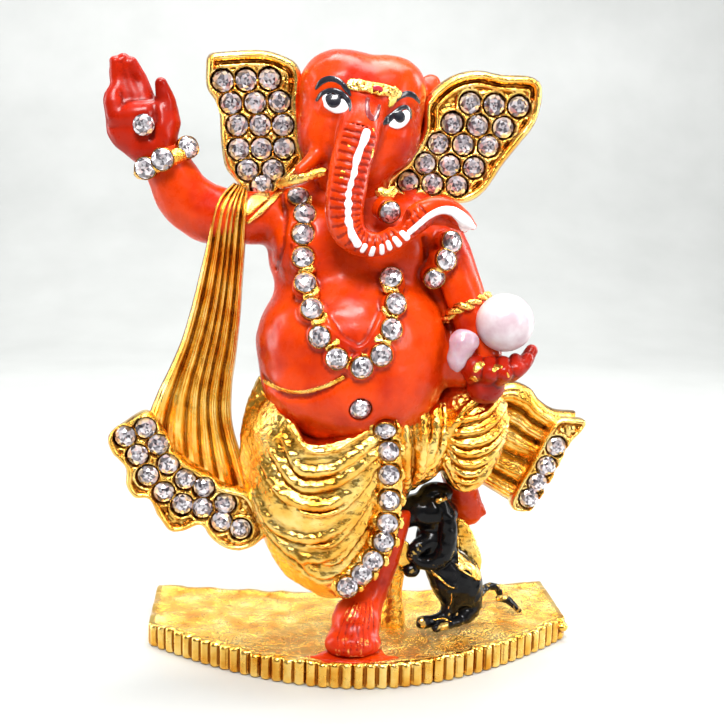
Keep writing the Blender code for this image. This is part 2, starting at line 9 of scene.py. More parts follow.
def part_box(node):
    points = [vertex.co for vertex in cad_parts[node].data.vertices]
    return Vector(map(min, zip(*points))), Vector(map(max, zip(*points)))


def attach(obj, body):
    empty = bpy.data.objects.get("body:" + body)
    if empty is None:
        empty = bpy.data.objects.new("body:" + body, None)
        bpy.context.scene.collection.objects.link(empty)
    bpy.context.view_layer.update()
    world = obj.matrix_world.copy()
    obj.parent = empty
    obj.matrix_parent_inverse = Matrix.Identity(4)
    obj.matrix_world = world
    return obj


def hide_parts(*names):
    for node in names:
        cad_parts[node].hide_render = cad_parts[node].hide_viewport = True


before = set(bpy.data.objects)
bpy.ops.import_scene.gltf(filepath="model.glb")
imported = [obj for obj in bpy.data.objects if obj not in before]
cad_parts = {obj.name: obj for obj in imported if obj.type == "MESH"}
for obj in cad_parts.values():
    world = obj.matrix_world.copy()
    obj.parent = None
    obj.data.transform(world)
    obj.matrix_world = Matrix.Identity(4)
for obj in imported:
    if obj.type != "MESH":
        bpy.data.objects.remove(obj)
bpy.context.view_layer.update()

# Shapes below are in millimetres from the centre of the base's underside, +X to the figure's left,
# -Y to the front and +Z up. MM turns them into the frame's metres.
MM = 0.001


def node_box(node):
    """Lowest and highest corner of a CAD node, in millimetres."""
    low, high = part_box(node)
    return np.array(low) / MM, np.array(high) / MM


# Curves and small geometry helpers


def curve(points, spacing=0.4, closed=False):
    """A smooth curve through rows of numbers (places, and radii if given), read every so many mm."""
    rows = np.array(points, float)
    if closed:
        ends = np.vstack([rows[-1:], rows, rows[:2]])
    else:
        ends = np.vstack([2 * rows[0] - rows[1], rows, 2 * rows[-1] - rows[-2]])
    out = []
    for a, b, c, d in zip(ends, ends[1:], ends[2:], ends[3:]):
        steps = max(2, int(np.linalg.norm((c - b)[:3]) / spacing))
        for t in np.arange(steps) / steps:
            out.append(0.5 * (2 * b + (c - a) * t + (2 * a - 5 * b + 4 * c - d) * t**2
                              + (3 * b - a - 3 * c + d) * t**3))
    return np.array(out if closed else out + [rows[-1]])


def smooth_min(a, b, blend):
    if blend <= 0:
        return np.minimum(a, b)
    h = np.clip(0.5 + 0.5 * (b - a) / blend, 0, 1)
    return b + (a - b) * h - blend * h * (1 - h)


NOISE_WAVES = 16


def noise(points, size, seed=0):
    """Smooth noise about -1 to 1 made of a few crossing waves."""
    rng = np.random.default_rng(seed)
    total = np.zeros(len(points))
    for _ in range(NOISE_WAVES):
        way = rng.normal(size=3)
        way /= np.linalg.norm(way)
        total += np.sin(points @ way * (2 * math.pi / size) * rng.uniform(0.7, 1.5) + rng.uniform(0, 6.28))
    return total / math.sqrt(NOISE_WAVES)


# Clay: a block of signed distances that shapes are pressed into, then skinned


EMPTY = 5.0
FAR = 1e9
OUTSIDE = -9.0


class Clay:
    """A block of clay: distances in millimetres, below 0 inside the shape."""

    def __init__(self, low, high, step):
        self.low = np.array(low, float)
        self.step = step
        self.count = np.ceil((np.array(high, float) - self.low) / step).astype(int) + 1
        self.d = np.full(self.count, EMPTY, np.float32)
        self.axes = [self.low[k] + step * np.arange(self.count[k]) for k in range(3)]

    def window(self, low, high):
        """The part of the block inside a box, and its coordinates."""
        first = np.clip(np.floor((np.array(low) - self.low) / self.step).astype(int), 0, self.count)
        last = np.clip(np.ceil((np.array(high) - self.low) / self.step).astype(int) + 1, 0, self.count)
        cut = tuple(slice(a, b) for a, b in zip(first, last))
        x, y, z = (self.axes[k][cut[k]] for k in range(3))
        return cut, x[:, None, None], y[None, :, None], z[None, None, :]

    def plane(self, other):
        """The block's X coordinates against its Y (other = 1) or Z (other = 2) ones, over the whole plane."""
        return np.meshgrid(self.axes[0], self.axes[other], indexing="ij")

    def fill(self, low, high, inward, soft, axis=1):
        """A sheet from low to high along an axis, inside an outline and with its rim softened."""
        along = self.axes[axis].reshape([-1 if k == axis else 1 for k in range(3)])
        low, high, inward = (np.expand_dims(v, axis) for v in (low, high, inward))
        slab = np.minimum(along - low, high - along)
        self.d[:] = -smooth_min(slab, np.broadcast_to(inward, slab.shape), soft)

    def press(self, cut, shape, blend, carve):
        old = self.d[cut]
        if carve:
            self.d[cut] = -smooth_min(-old, shape, blend)
        else:
            self.d[cut] = smooth_min(old, shape, blend)

    def ball(self, centre, radii, blend=1.0, turn=(0, 0, 0), carve=False):
        """An ellipsoid. turn is in degrees about X, Y and Z."""
        reach = max(radii) + blend + 1.5
        cut, x, y, z = self.window(np.array(centre) - reach, np.array(centre) + reach)
        spin = Matrix.Identity(3)
        for angle, axis in zip(turn, "XYZ"):
            spin = Matrix.Rotation(math.radians(angle), 3, axis) @ spin
        back = np.array(spin.transposed())
        dx, dy, dz = x - centre[0], y - centre[1], z - centre[2]
        local = [back[k][0] * dx + back[k][1] * dy + back[k][2] * dz for k in range(3)]
        k0 = np.sqrt(sum((v / r) ** 2 for v, r in zip(local, radii)))
        k1 = np.sqrt(sum((v / r**2) ** 2 for v, r in zip(local, radii)))
        self.press(cut, (k0 * (k0 - 1) / np.maximum(k1, 1e-6)).astype(np.float32), blend, carve)

    def rod(self, path, blend=0.5, carve=False, flat=1.0):
        """A round rod along rows of (x, y, z, radius). flat above 1 makes it deeper front to back."""
        path = np.asarray(path, float)
        reach = path[:, 3].max() * flat + blend + 1.2
        cut = self.window(path[:, :3].min(0) - reach, path[:, :3].max(0) + reach)[0]
        shape = np.full(self.d[cut].shape, 9.0, np.float32)
        origin = [cut[k].start for k in range(3)]
        for a, b in zip(path, path[1:]):
            span = max(a[3], b[3]) * flat + blend + 1.2
            part, px, py, pz = self.window(np.minimum(a, b)[:3] - span, np.maximum(a, b)[:3] + span)
            here = tuple(slice(s.start - o, s.stop - o) for s, o in zip(part, origin))
            way = (b - a)[:3].copy()
            way[1] /= flat
            dx, dy, dz = px - a[0], (py - a[1]) / flat, pz - a[2]
            t = np.clip((dx * way[0] + dy * way[1] + dz * way[2]) / max(way @ way, 1e-9), 0, 1)
            gap = np.sqrt((dx - way[0] * t) ** 2 + (dy - way[1] * t) ** 2 + (dz - way[2] * t) ** 2)
            shape[here] = np.minimum(shape[here], gap - (a[3] + (b[3] - a[3]) * t))
        self.press(cut, shape, blend, carve)

    def tube(self, points, blend=0.5):
        """A rod along a smooth curve through the points."""
        self.rod(curve(points), blend)

    def disc(self, centre, way, radius, half, blend=0.3, carve=False):
        """A flat round pad facing way, reaching half its thickness either side of centre."""
        reach = radius + half + blend + 1
        cut, x, y, z = self.window(np.array(centre) - reach, np.array(centre) + reach)
        dx, dy, dz = x - centre[0], y - centre[1], z - centre[2]
        along = dx * way[0] + dy * way[1] + dz * way[2]
        across = np.sqrt(np.maximum(dx**2 + dy**2 + dz**2 - along**2, 0))
        self.press(cut, -smooth_min(radius - across, half - np.abs(along), 0.25), blend, carve)

    def trim(self, outline, behind, blend=0.3):
        """Cuts away the clay inside an (x, z) outline, as far back as y = behind."""
        gx, gz = self.plane(2)
        inward, _ = flat_gap(curve(outline, 0.5, closed=True), gx, gz)
        tool = np.minimum(inward[:, None, :], behind - self.axes[1][None, :, None])
        self.d[:] = -smooth_min(-self.d, -tool, blend)

    def fronts(self, x, z):
        """The y of the clay's first surface over a grid of x and z, and nan where there is none."""
        solid = self.d < 0
        first = solid.argmax(1)
        hit = solid.any(1)
        i, k = np.indices(first.shape)
        before = np.maximum(first - 1, 0)
        a, b = self.d[i, before, k], self.d[i, first, k]
        t = np.where(first > 0, a / np.where(a != b, a - b, 1), 0)
        surface = np.where(hit, self.axes[1][before] + t * self.step, np.nan)
        fx = np.clip((x - self.low[0]) / self.step, 0, self.count[0] - 1.001)
        fz = np.clip((z - self.low[2]) / self.step, 0, self.count[2] - 1.001)
        i, k = fx.astype(int), fz.astype(int)
        u, v = (fx - i)[:, None], (fz - k)[None, :]
        near = surface[np.ix_(i, k)] * (1 - u) * (1 - v) + surface[np.ix_(i + 1, k)] * u * (1 - v)
        return near + surface[np.ix_(i, k + 1)] * (1 - u) * v + surface[np.ix_(i + 1, k + 1)] * u * v

    def surface(self, x, z, behind=False):
        """The y of the first surface at (x, z), or of the rearmost. None where there is no clay."""
        i, k = (min(max(int(round((v - self.low[axis]) / self.step)), 0), self.count[axis] - 1)
                for axis, v in ((0, x), (2, z)))
        line = self.d[i, :, k]
        solid = np.nonzero(line < 0)[0]
        if len(solid) == 0:
            return None
        if behind or solid[0] == 0:
            return self.axes[1][solid[-1] if behind else 0]
        outside, inside = line[solid[0] - 1], line[solid[0]]
        return self.axes[1][solid[0] - 1] + outside / (outside - inside) * self.step

    def drape(self, line, radius, lift=0.0, blend=0.3, carve=False, behind=False):
        """A rod laid on the clay's front (or back) along (x, z) places. radius may be a list, one a place."""
        radii = radius if isinstance(radius, (list, tuple)) else [radius] * len(line)
        flat_path = curve([(x, 0, z, r) for (x, z), r in zip(line, radii)])
        rows = []
        for x, _, z, r in flat_path:
            y = self.surface(x, z, behind)
            if y is not None:
                rows.append((x, y + lift if behind else y - lift, z, r))
        if len(rows) > 1:
            rows = np.array(rows)
            rows[1:-1, 1] = (rows[:-2, 1] + rows[1:-1, 1] + rows[2:, 1]) / 3
            self.rod(rows, blend, carve)

    def groove(self, line, radius, blend, behind=False):
        """A groove cut into the clay's front (or back) along (x, z) places."""
        self.drape(line, radius, blend=blend, carve=True, behind=behind)

    def clear(self, stone, sink, room):
        """Clears the place a stone takes, and the way in front of it."""
        seat = stone.seat - sink * stone.way
        r = stone.radius + room
        self.rod([(*seat, r), (*(seat + 3 * stone.way), r)], 0.1, carve=True)

    def skin(self, name, grain=0.0, grain_size=1.0, seed=0):
        """A mesh object of the surface. Its attribute edge is above 0 on ridges and below 0 in hollows."""
        d = self.d
        for k in range(3):
            face = [slice(None)] * 3
            for end in (0, -1):
                face[k] = end
                d[tuple(face)] = np.maximum(d[tuple(face)], 0.3 * self.step)
        sign = d < 0
        total = np.zeros(np.array(d.shape) - 1, np.int8)
        corners = [(i, j, k) for i in (0, 1) for j in (0, 1) for k in (0, 1)]
        nx, ny, nz = total.shape
        for i, j, k in corners:
            total += sign[i:i + nx, j:j + ny, k:k + nz]
        cells = np.nonzero((total > 0) & (total < 8))
        value = {c: d[cells[0] + c[0], cells[1] + c[1], cells[2] + c[2]] for c in corners}
        place = np.zeros((len(cells[0]), 3))
        crossings = np.zeros(len(cells[0]))
        for a in corners:
            for axis in range(3):
                if a[axis]:
                    continue
                b = tuple(1 if k == axis else a[k] for k in range(3))
                cross = (value[a] < 0) != (value[b] < 0)
                t = np.where(cross, value[a] / np.where(cross, value[a] - value[b], 1), 0)
                for k in range(3):
                    place[:, k] += np.where(cross, a[k] + (t if k == axis else 0), 0)
                crossings += cross
        points = self.low + self.step * (np.stack(cells, 1) + place / crossings[:, None])
        number = np.full(total.shape, -1, np.int64)
        number[cells] = np.arange(len(cells[0]))
        quads = []
        for axis in range(3):
            u, v = (axis + 1) % 3, (axis + 2) % 3
            low = [slice(1, -1)] * 3
            low[axis] = slice(0, -1)
            high = list(low)
            high[axis] = slice(1, None)
            start, end = sign[tuple(low)], sign[tuple(high)]
            at = np.nonzero(start != end)
            grid = [at[k] + (0 if k == axis else 1) for k in range(3)]
            out = start[at]
            around = []
            for du, dv in ((-1, -1), (0, -1), (0, 0), (-1, 0)):
                cell = list(grid)
                cell[u] = cell[u] + du
                cell[v] = cell[v] + dv
                around.append(number[tuple(cell)])
            quad = np.stack(around, 1)
            quads.append(np.where(out[:, None], quad, quad[:, ::-1]))
        faces = np.vstack(quads)
        near = np.clip(np.rint((points - self.low) / self.step).astype(int), 2, self.count - 3)
        bend = -6 * d[near[:, 0], near[:, 1], near[:, 2]]
        for k in range(3):
            for off in (-2, 2):
                at = near.copy()
                at[:, k] += off
                bend = bend + d[at[:, 0], at[:, 1], at[:, 2]]
        bend = bend / (2 * self.step) ** 2
        if grain:
            points[:, 1] += grain * noise(points, grain_size, seed)
            points[:, 0] += grain * noise(points, grain_size, seed + 1)
            points[:, 2] += grain * noise(points, grain_size, seed + 2)
        return mesh_piece(name, points, faces, edge=bend)


def mesh_piece(name, points, faces, edge=None, smooth=True):
    """A piece from millimetre points and faces."""
    mesh = bpy.data.meshes.new(name)
    mesh.from_pydata((np.asarray(points) * MM).tolist(), [], [tuple(int(v) for v in face) for face in faces])
    if edge is not None:
        layer = mesh.attributes.new("edge", "FLOAT", "POINT")
        layer.data.foreach_set("value", np.asarray(edge, np.float32))
    if smooth:
        mesh.shade_smooth()
    made = bpy.data.objects.new(name, mesh)
    bpy.context.scene.collection.objects.link(made)
    return made


def settle(piece, material, *nodes):
    """Gives a piece its material and its place, and hides the CAD nodes it stands in for."""
    piece.data.materials.clear()
    piece.data.materials.append(material)
    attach(piece, "root")
    if nodes:
        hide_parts(*nodes)
    return piece


# Materials


class Finish:
    """Short ways to build the nodes of a material, or of the world. Lengths are in millimetres."""

    def __init__(self, owner, shader="Principled BSDF"):
        self.owner = owner
        owner.use_nodes = True
        self.nodes = owner.node_tree.nodes
        self.links = owner.node_tree.links
        self.shader = self.nodes[shader]

    def node(self, kind, source, socket, values):
        made = self.nodes.new("ShaderNode" + kind)
        for key, value in values.items():
            made.inputs[key].default_value = value
        self.links.new(source, made.inputs[socket])
        return made

    def noise(self, size, detail=4.0, roughness=0.55):
        """Noise whose features are about size across."""
        coords = self.nodes.new("ShaderNodeTexCoord")
        values = {"Scale": 1 / (size * MM), "Detail": detail, "Roughness": roughness}
        return self.node("TexNoise", coords.outputs["Object"], "Vector", values).outputs["Fac"]

    def attribute(self, name):
        made = self.nodes.new("ShaderNodeAttribute")
        made.attribute_name = name
        return made.outputs["Fac"]

    def ramp(self, source, *stops):
        """A colour ramp; stops are (position, (r, g, b))."""
        made = self.node("ValToRGB", source, "Fac", {})
        ramp = made.color_ramp
        while len(ramp.elements) < len(stops):
            ramp.elements.new(0.5)
        for element, (position, colour) in zip(ramp.elements, stops):
            element.position = position
            element.color = (*colour, 1)
        return made.outputs["Color"]

    def remap(self, source, low, high, to_low, to_high):
        values = {"From Min": low, "From Max": high, "To Min": to_low, "To Max": to_high}
        return self.node("MapRange", source, "Value", values).outputs["Result"]

    def mix(self, factor, first, second):
        """Mixes two colours, each a socket or a (r, g, b)."""
        made = self.nodes.new("ShaderNodeMix")
        made.data_type = "RGBA"
        self.links.new(factor, made.inputs["Factor"])
        for socket, value in (("A", first), ("B", second)):
            target = next(s for s in made.inputs if s.name == socket and s.type == "RGBA")
            if isinstance(value, tuple):
                target.default_value = (*value, 1)
            else:
                self.links.new(value, target)
        return next(s for s in made.outputs if s.type == "RGBA")

    def bump(self, height, distance, after=None):
        """Bump whose full height is distance."""
        made = self.node("Bump", height, "Height", {"Distance": distance * MM})
        if after is not None:
            self.links.new(after, made.inputs["Normal"])
        return made.outputs["Normal"]

    def done(self, settings):
        """Sets the shader's sockets, each from a constant or from a node, and returns the owner."""
        for key, value in settings.items():
            if isinstance(value, bpy.types.NodeSocket):
                self.links.new(value, self.shader.inputs[key])
            else:
                self.shader.inputs[key].default_value = value
        return self.owner


def new_finish(name):
    return Finish(bpy.data.materials.new(name))


def gold(name, grain_size=0.35, grain=0.05, rough=0.2, pits=0.0, shade=1.0):
    """Bright gold plating: grain is the height of its sparkle and pits of its coarser cast skin, in mm. shade
    is how strongly its hollows are painted dark, as painted shade.
    """
    made = new_finish(name)
    broad = made.noise(4.0, 3)
    fine = made.noise(grain_size, 4, 0.65)
    coarse = made.noise(grain_size * 4, 3, 0.6)
    tone = made.ramp(broad, (0.32, (0.76, 0.33, 0.03)), (0.5, (0.94, 0.56, 0.11)), (0.68, (1.0, 0.72, 0.24)))
    # Painted shade: where the edge attribute is low, in hollows, the colour is mixed towards dark brown.
    painted_hollow_shade = made.remap(made.attribute("edge"), -1.9, 0.0, shade, 0.0)
    normal = made.bump(fine, grain)
    if pits:
        normal = made.bump(coarse, pits, after=normal)
    return made.done({"Base Color": made.mix(painted_hollow_shade, tone, (0.30, 0.10, 0.012)), "Metallic": 1.0,
                      "Roughness": made.remap(coarse, 0.35, 0.65, rough - 0.1, rough + 0.1),
                      "Normal": normal})


def enamel(name, bright, deep, polish, rubbed=False, coat=0.08):
    """Glossy enamel, bright over ridges and darker in hollows, partly for enamel pooled thicker there and
    partly as painted shade. Rubbed enamel shows gold.
    """
    made = new_finish(name)
    brush = made.noise(1.4, 4)
    tone = made.ramp(made.noise(7.0, 3), (0.32, deep), (0.6, bright))
    edge = made.attribute("edge")
    # Darker in hollows, where the edge attribute is low: partly enamel pooled thicker, partly painted shade.
    pooled_and_shaded = made.remap(edge, -1.4, 0.0, 0.75, 0.0)
    colour = made.mix(pooled_and_shaded, tone, tuple(c * 0.45 for c in deep))
    metal = 0.0
    if rubbed:
        crest = made.remap(edge, 1.1, 1.9, 0.0, 1.0)
        patch = made.remap(made.noise(1.6, 5), 0.54, 0.62, 0.0, 1.0)
        both = made.nodes.new("ShaderNodeMath")
        both.operation = "MULTIPLY"
        made.links.new(crest, both.inputs[0])
        made.links.new(patch, both.inputs[1])
        metal = both.outputs["Value"]
        colour = made.mix(metal, colour, (0.95, 0.6, 0.15))
    return made.done({"Base Color": colour, "Metallic": metal, "Specular IOR Level": 0.18,
                      "Coat Weight": coat,
                      "Roughness": made.remap(brush, 0.3, 0.7, polish, polish + 0.18),
                      "Coat Roughness": 0.12, "Normal": made.bump(brush, 0.05)})


def paint(name, colour, shine=0.2):
    """Brushed-on detail paint with soft strokes in it."""
    made = new_finish(name)
    stroke = made.noise(0.8, 4)
    pale = tuple(min(1.0, c * 1.25 + 0.01) for c in colour)
    return made.done({"Base Color": made.ramp(stroke, (0.3, colour), (0.75, pale)), "Roughness": shine,
                      "Coat Weight": 0.4, "Normal": made.bump(stroke, 0.04)})


def crystal_material():
    """Foil-backed cut glass whose colour is painted reflection: each facet gets its own grey as a painted
    glint, with a little pink, over cloudy painted patches of light and dark.
    """
    made = new_finish("crystal_painted_glints")
    cloud = made.noise(0.8, 2)
    tone = made.ramp(made.attribute("painted_glint"), (0.0, (0.04, 0.03, 0.04)), (0.3, (0.16, 0.14, 0.16)),
                     (0.5, (0.55, 0.50, 0.54)), (0.8, (0.95, 0.92, 0.95)), (1.0, (0.90, 0.62, 0.60)))
    # Cloudy patches of painted reflection, pale and dark, mixed in by up to 0.3.
    patch = made.ramp(cloud, (0.35, (0.16, 0.14, 0.16)), (0.62, (0.86, 0.82, 0.86)))
    colour = made.mix(made.remap(cloud, 0, 1, 0.0, 0.3), tone, patch)
    return made.done({"Base Color": colour, "Metallic": 0.6, "Roughness": 0.1, "Coat Weight": 1.0,
                      "Coat Roughness": 0.02, "Normal": made.bump(cloud, 0.08)})


def pearl_material():
    made = new_finish("pearl_nacre")
    tone = made.ramp(made.noise(3.0, 3), (0.35, (0.52, 0.38, 0.42)), (0.5, (0.60, 0.49, 0.52)),
                     (0.65, (0.66, 0.60, 0.62)))
    return made.done({"Base Color": tone, "Roughness": 0.32, "Coat Weight": 0.3, "Coat Roughness": 0.15,
                      "Normal": made.bump(made.noise(0.25, 2), 0.015)})


def resin_material():
    made = new_finish("clear_glue")
    cloud = made.noise(2.0, 3)
    tone = made.ramp(cloud, (0.35, (0.62, 0.36, 0.44)), (0.65, (0.72, 0.58, 0.64)))
    return made.done({"Base Color": tone, "Roughness": 0.1, "Transmission Weight": 0.35,
                      "Subsurface Weight": 0.4, "Subsurface Scale": 1.5 * MM,
                      "Normal": made.bump(cloud, 0.1)})


# The skin: head, body and limbs in red enamel


TRUNK = [(-1.9, -8.0, 79.2, 2.1), (-2.7, -9.8, 76.6, 2.6), (-3.2, -10.8, 74.6, 2.75),
         (-3.9, -11.4, 72.2, 2.7), (-4.3, -11.9, 69.8, 2.65), (-4.7, -12.2, 67.4, 2.6),
         (-4.8, -12.4, 65.2, 2.5), (-4.3, -12.6, 63.0, 2.25), (-2.8, -12.8, 61.6, 1.85),
         (-0.8, -13.0, 61.2, 1.6), (1.0, -13.0, 61.7, 1.55), (2.8, -13.0, 63.0, 1.65),
         (4.6, -12.9, 64.8, 1.75), (6.2, -12.8, 66.0, 1.45), (7.8, -12.7, 66.4, 1.3),
         (9.4, -12.6, 65.9, 1.25), (10.9, -12.5, 64.9, 1.1), (12.3, -12.4, 63.9, 0.55)]
RIB_PITCH = 1.0


def head_clay():
    clay = Clay((-13.5, -17, 57), (15.5, 8.5, 89), 0.17)
    clay.ball((-2.0, -1.6, 79.0), (8.7, 8.0, 7.6), 0)
    clay.ball((-5.2, -2.4, 82.4), (5.2, 6.2, 4.6), 1.6)
    clay.ball((2.4, -2.2, 82.0), (4.4, 6.0, 4.3), 1.6)
    clay.ball((-6.6, -4.2, 75.2), (4.2, 4.8, 4.2), 2.0)
    clay.ball((2.2, -4.0, 75.0), (3.6, 4.6, 4.0), 2.0)
    clay.ball((-3.2, -4.6, 72.4), (5.4, 4.4, 5.0), 2.2)
    clay.ball((-3.0, -1.0, 68.5), (5.6, 4.6, 4.0), 2.0)
    clay.ball((7.4, 0.4, 80.2), (3.0, 1.8, 3.6), 1.2)
    clay.ball((8.2, 1.2, 83.2), (1.3, 1.2, 1.3), 0.8)
    clay.rod([(-7.6, -7.2, 73.2, 1.3), (-9.0, -8.4, 72.0, 1.0), (-10.6, -9.2, 70.7, 0.7)], 0.8)
    clay.ball((-6.0, -10.2, 79.4), (2.4, 1.3, 1.5), 1.6, carve=True)
    clay.ball((2.8, -10.0, 77.8), (2.1, 1.3, 1.5), 1.6, carve=True)
    clay.ball((-6.0, -7.6, 79.4), (2.0, 1.5, 1.5), 0.9)
    clay.ball((2.7, -7.3, 77.8), (1.7, 1.5, 1.5), 0.9)
    trunk = curve(TRUNK, 0.25)
    clay.rod(trunk, 1.4)
    clay.rod([(4.6, -11.6, 64.2, 1.7), (6.4, -11.3, 65.3, 1.5), (9.0, -11.0, 65.0, 1.3),
              (11.4, -11.2, 63.6, 0.7)], 0.7)
    along = np.concatenate([[0], np.cumsum(np.linalg.norm(np.diff(trunk[:, :3], axis=0), axis=1))])
    for s in np.arange(3.6, along[-1] - 7.5, RIB_PITCH):
        x, y, z, r = (np.interp(s, along, trunk[:, k]) for k in range(4))
        ahead = np.array([np.interp(s + 0.3, along, trunk[:, k]) - np.interp(s - 0.3, along, trunk[:, k])
                          for k in range(3)])
        side = np.cross(ahead, (0, -1, 0))
        side /= np.linalg.norm(side)
        cut = [(x + side[0] * r * 0.95 * math.sin(a), y - r * math.cos(a) * 1.03,
                z + side[2] * r * 0.95 * math.sin(a), 0.13 * math.cos(a * 1.6)) for a in np.linspace(-0.9,
                0.9, 9)]
        clay.rod(cut, 0.4, carve=True)
    return clay


def body_clay():
    clay = Clay((-34.5, -16, 31), (18.5, 10.5, 74.5), 0.23)
    clay.ball((-2.2, -2.8, 46.6), (14.0, 11.4, 11.4), 0)
    clay.ball((-2.4, -3.4, 41.6), (13.0, 11.0, 9.4), 1.5)
    clay.ball((-3.2, -1.0, 59.0), (11.4, 7.6, 9.0), 3.0)
    clay.ball((-9.2, -5.4, 60.6), (4.4, 3.0, 4.8), 2.2)
    clay.ball((3.6, -5.4, 60.0), (4.6, 3.0, 4.8), 2.2)
    clay.ball((-3.0, -0.6, 68.0), (6.0, 4.8, 5.0), 2.0)
    clay.tube([(-9.0, -0.6, 64.6, 4.4), (-14.0, -1.8, 64.0, 3.7), (-18.5, -2.6, 64.0, 3.8),
               (-22.6, -3.0, 64.4, 4.1), (-25.8, -3.3, 66.4, 3.9), (-27.5, -3.7, 69.2, 3.4),
               (-28.6, -4.0, 71.8, 3.0)], 1.6)
    clay.tube([(5.6, -1.0, 64.4, 4.2), (8.8, -2.8, 61.6, 4.0), (10.8, -4.4, 57.8, 3.6),
               (12.4, -5.8, 54.2, 3.1), (13.4, -6.6, 51.4, 2.8), (14.4, -7.4, 48.6, 2.5),
               (15.6, -8.2, 46.2, 2.3)], 1.6)
    clay.ball((12.4, -5.6, 44.6), (3.4, 3.6, 3.8), 1.8)
    clay.groove([(-12.6, 67.2), (-12.3, 63.6), (-12.8, 60.0), (-13.6, 57.0)], 0.3, 0.6)
    clay.groove([(-10.9, 66.0), (-11.4, 62.0), (-11.6, 58.0)], 0.16, 0.3)
    clay.groove([(6.8, 61.6), (7.4, 58.2), (9.0, 54.6), (10.2, 50.8), (11.2, 47.4)], 0.4, 0.9)
    chain = [stone.seat for stone in stones_in("necklace_stones") if stone.seat[2] < 55]
    heart = np.mean(chain, 0)
    bib = [heart + (place - heart) * (1 - 2.3 / np.linalg.norm((place - heart)[[0, 2]])) for place in chain]
    bib.sort(key=lambda place: math.atan2(place[0] - heart[0], heart[2] + 4 - place[2]))
    clay.drape([(place[0], place[2]) for place in bib], 0.4, 0.0, 0.5)
    clay.groove([(-15.2, 42.0), (-12.8, 40.6), (-10.0, 40.6), (-7.2, 41.8), (-4.6, 43.6)], 0.45, 0.8)
    return clay


def right_hand_clay():
    clay = Clay((-38.5, -9.5, 69), (-24.5, 0.5, 87), 0.15)
    clay.ball((-31.9, -4.2, 75.8), (4.5, 2.3, 4.0), 0, turn=(0, 8, 0))
    clay.ball((-29.0, -5.0, 75.4), (2.1, 2.0, 3.4), 1.2, turn=(0, -8, 0))
    clay.ball((-32.2, -5.4, 77.5), (3.4, 1.3, 1.4), 0.8, turn=(0, -10, 0))
    clay.ball((-30.2, -4.2, 72.6), (2.9, 2.4, 2.2), 1.4)
    fingers = [[(-34.8, -4.8, 77.2, 1.6), (-35.3, -4.7, 79.2, 1.35), (-34.9, -4.2, 80.9, 1.0)],
               [(-33.6, -4.0, 79.0, 1.5), (-34.6, -3.7, 82.0, 1.3), (-35.0, -4.2, 84.2, 0.85)],
               [(-32.4, -3.9, 79.4, 1.5), (-33.5, -3.5, 82.4, 1.3), (-34.1, -3.9, 84.5, 0.9)],
               [(-31.1, -3.9, 79.0, 1.4), (-32.0, -3.5, 81.8, 1.2), (-33.0, -3.9, 84.1, 0.9)]]
    for joints in fingers:
        clay.tube(joints, 0.35)
    clay.tube([(-28.2, -4.6, 76.6, 1.7), (-28.4, -4.7, 79.2, 1.3), (-29.0, -5.1, 81.5, 0.85)], 0.8)
    clay.rod([(-29.9, -6.6, 78.6, 0.3), (-29.7, -6.9, 76.8, 0.35), (-30.2, -6.8, 74.6, 0.3)], 0.8, carve=True)
    return clay


def left_hand_clay():
    clay = Clay((8.5, -15.5, 38.5), (24, -3, 51), 0.15)
    clay.ball((15.8, -8.8, 44.2), (3.8, 3.4, 2.1), 0)
    clay.ball((15.8, -8.4, 41.6), (2.7, 2.8, 2.6), 1.2)
    clay.ball((13.2, -9.8, 45.0), (1.4, 1.6, 2.0), 0.9, turn=(0, -20, 0))
    knuckles = [(13.7, -11.0, 44.2, 1.25), (15.4, -11.9, 44.1, 1.3), (17.2, -12.2, 44.2, 1.3),
                (18.9, -11.9, 44.6, 1.25)]
    for x, y, z, r in knuckles:
        clay.rod([(x, y + 1.5, z - 0.9, r), (x + 0.3, y, z, r), (x + 0.4, y + 1.0, z + 1.1, r * 0.75)], 0.3)
    clay.tube([(18.4, -9.6, 44.0, 1.4), (20.6, -9.8, 45.0, 1.15), (21.9, -9.4, 46.8, 0.85)], 0.5)
    clay.tube([(18.0, -11.2, 44.0, 1.2), (20.0, -11.4, 44.8, 1.05), (21.0, -11.0, 45.9, 0.8)], 0.4)
    return clay


def standing_leg_clay():
    clay = Clay((-8.5, -16.5, 3.9), (8, 2, 22), 0.17)
    clay.tube([(3.2, -2.6, 21.0, 3.6), (2.0, -4.0, 15.6, 3.1), (0.6, -5.6, 11.2, 2.8),
               (-0.9, -7.4, 8.2, 2.8)], 0)
    clay.ball((-1.6, -8.4, 7.0), (3.5, 3.6, 3.4), 1.2)
    clay.ball((-2.2, -10.8, 4.9), (4.0, 3.3, 2.4), 1.0)
    for k in range(7):
        x = -4.6 + 0.9 * k
        clay.groove([(x * 0.5 + 0.2, 10.4), (x * 0.9, 7.2), (x, 4.6)], 0.02, 0.22)
    clay.ball((-2, -9, 2.4), (12, 12, 1.7), 0, carve=True)
    return clay


def raised_foot_clay():
    clay = Clay((10.5, -3, 15.5), (20.5, 6, 31), 0.17)
    clay.tube([(13.6, -0.4, 29.0, 2.8), (14.4, 1.0, 25.6, 2.5), (15.2, 1.6, 23.0, 2.4)], 0)
    clay.ball((16.0, 1.6, 21.0), (2.3, 1.7, 2.9), 1.0, turn=(0, -24, 0))
    for k in range(4):
        clay.rod([(15.5 + 0.8 * k, 1.5, 19.7 + 0.35 * k, 0.7), (15.9 + 0.8 * k, 1.3, 18.6 + 0.5 * k, 0.6)],
                 0.35)
    return clay


# Gold cloth


BELLY_EDGE = [(-18.5, 46), (-15.8, 42.0), (-14.1, 40.5), (-13.2, 38.2), (-10.8, 36.6), (-9.6, 34.6),
              (-7.8, 34.0), (-4.2, 34.9), (-1.4, 36.0), (1.0, 36.6), (3.7, 37.5), (5.6, 38.0), (8.5, 38.2),
              (11.3, 40.4), (14, 46)]


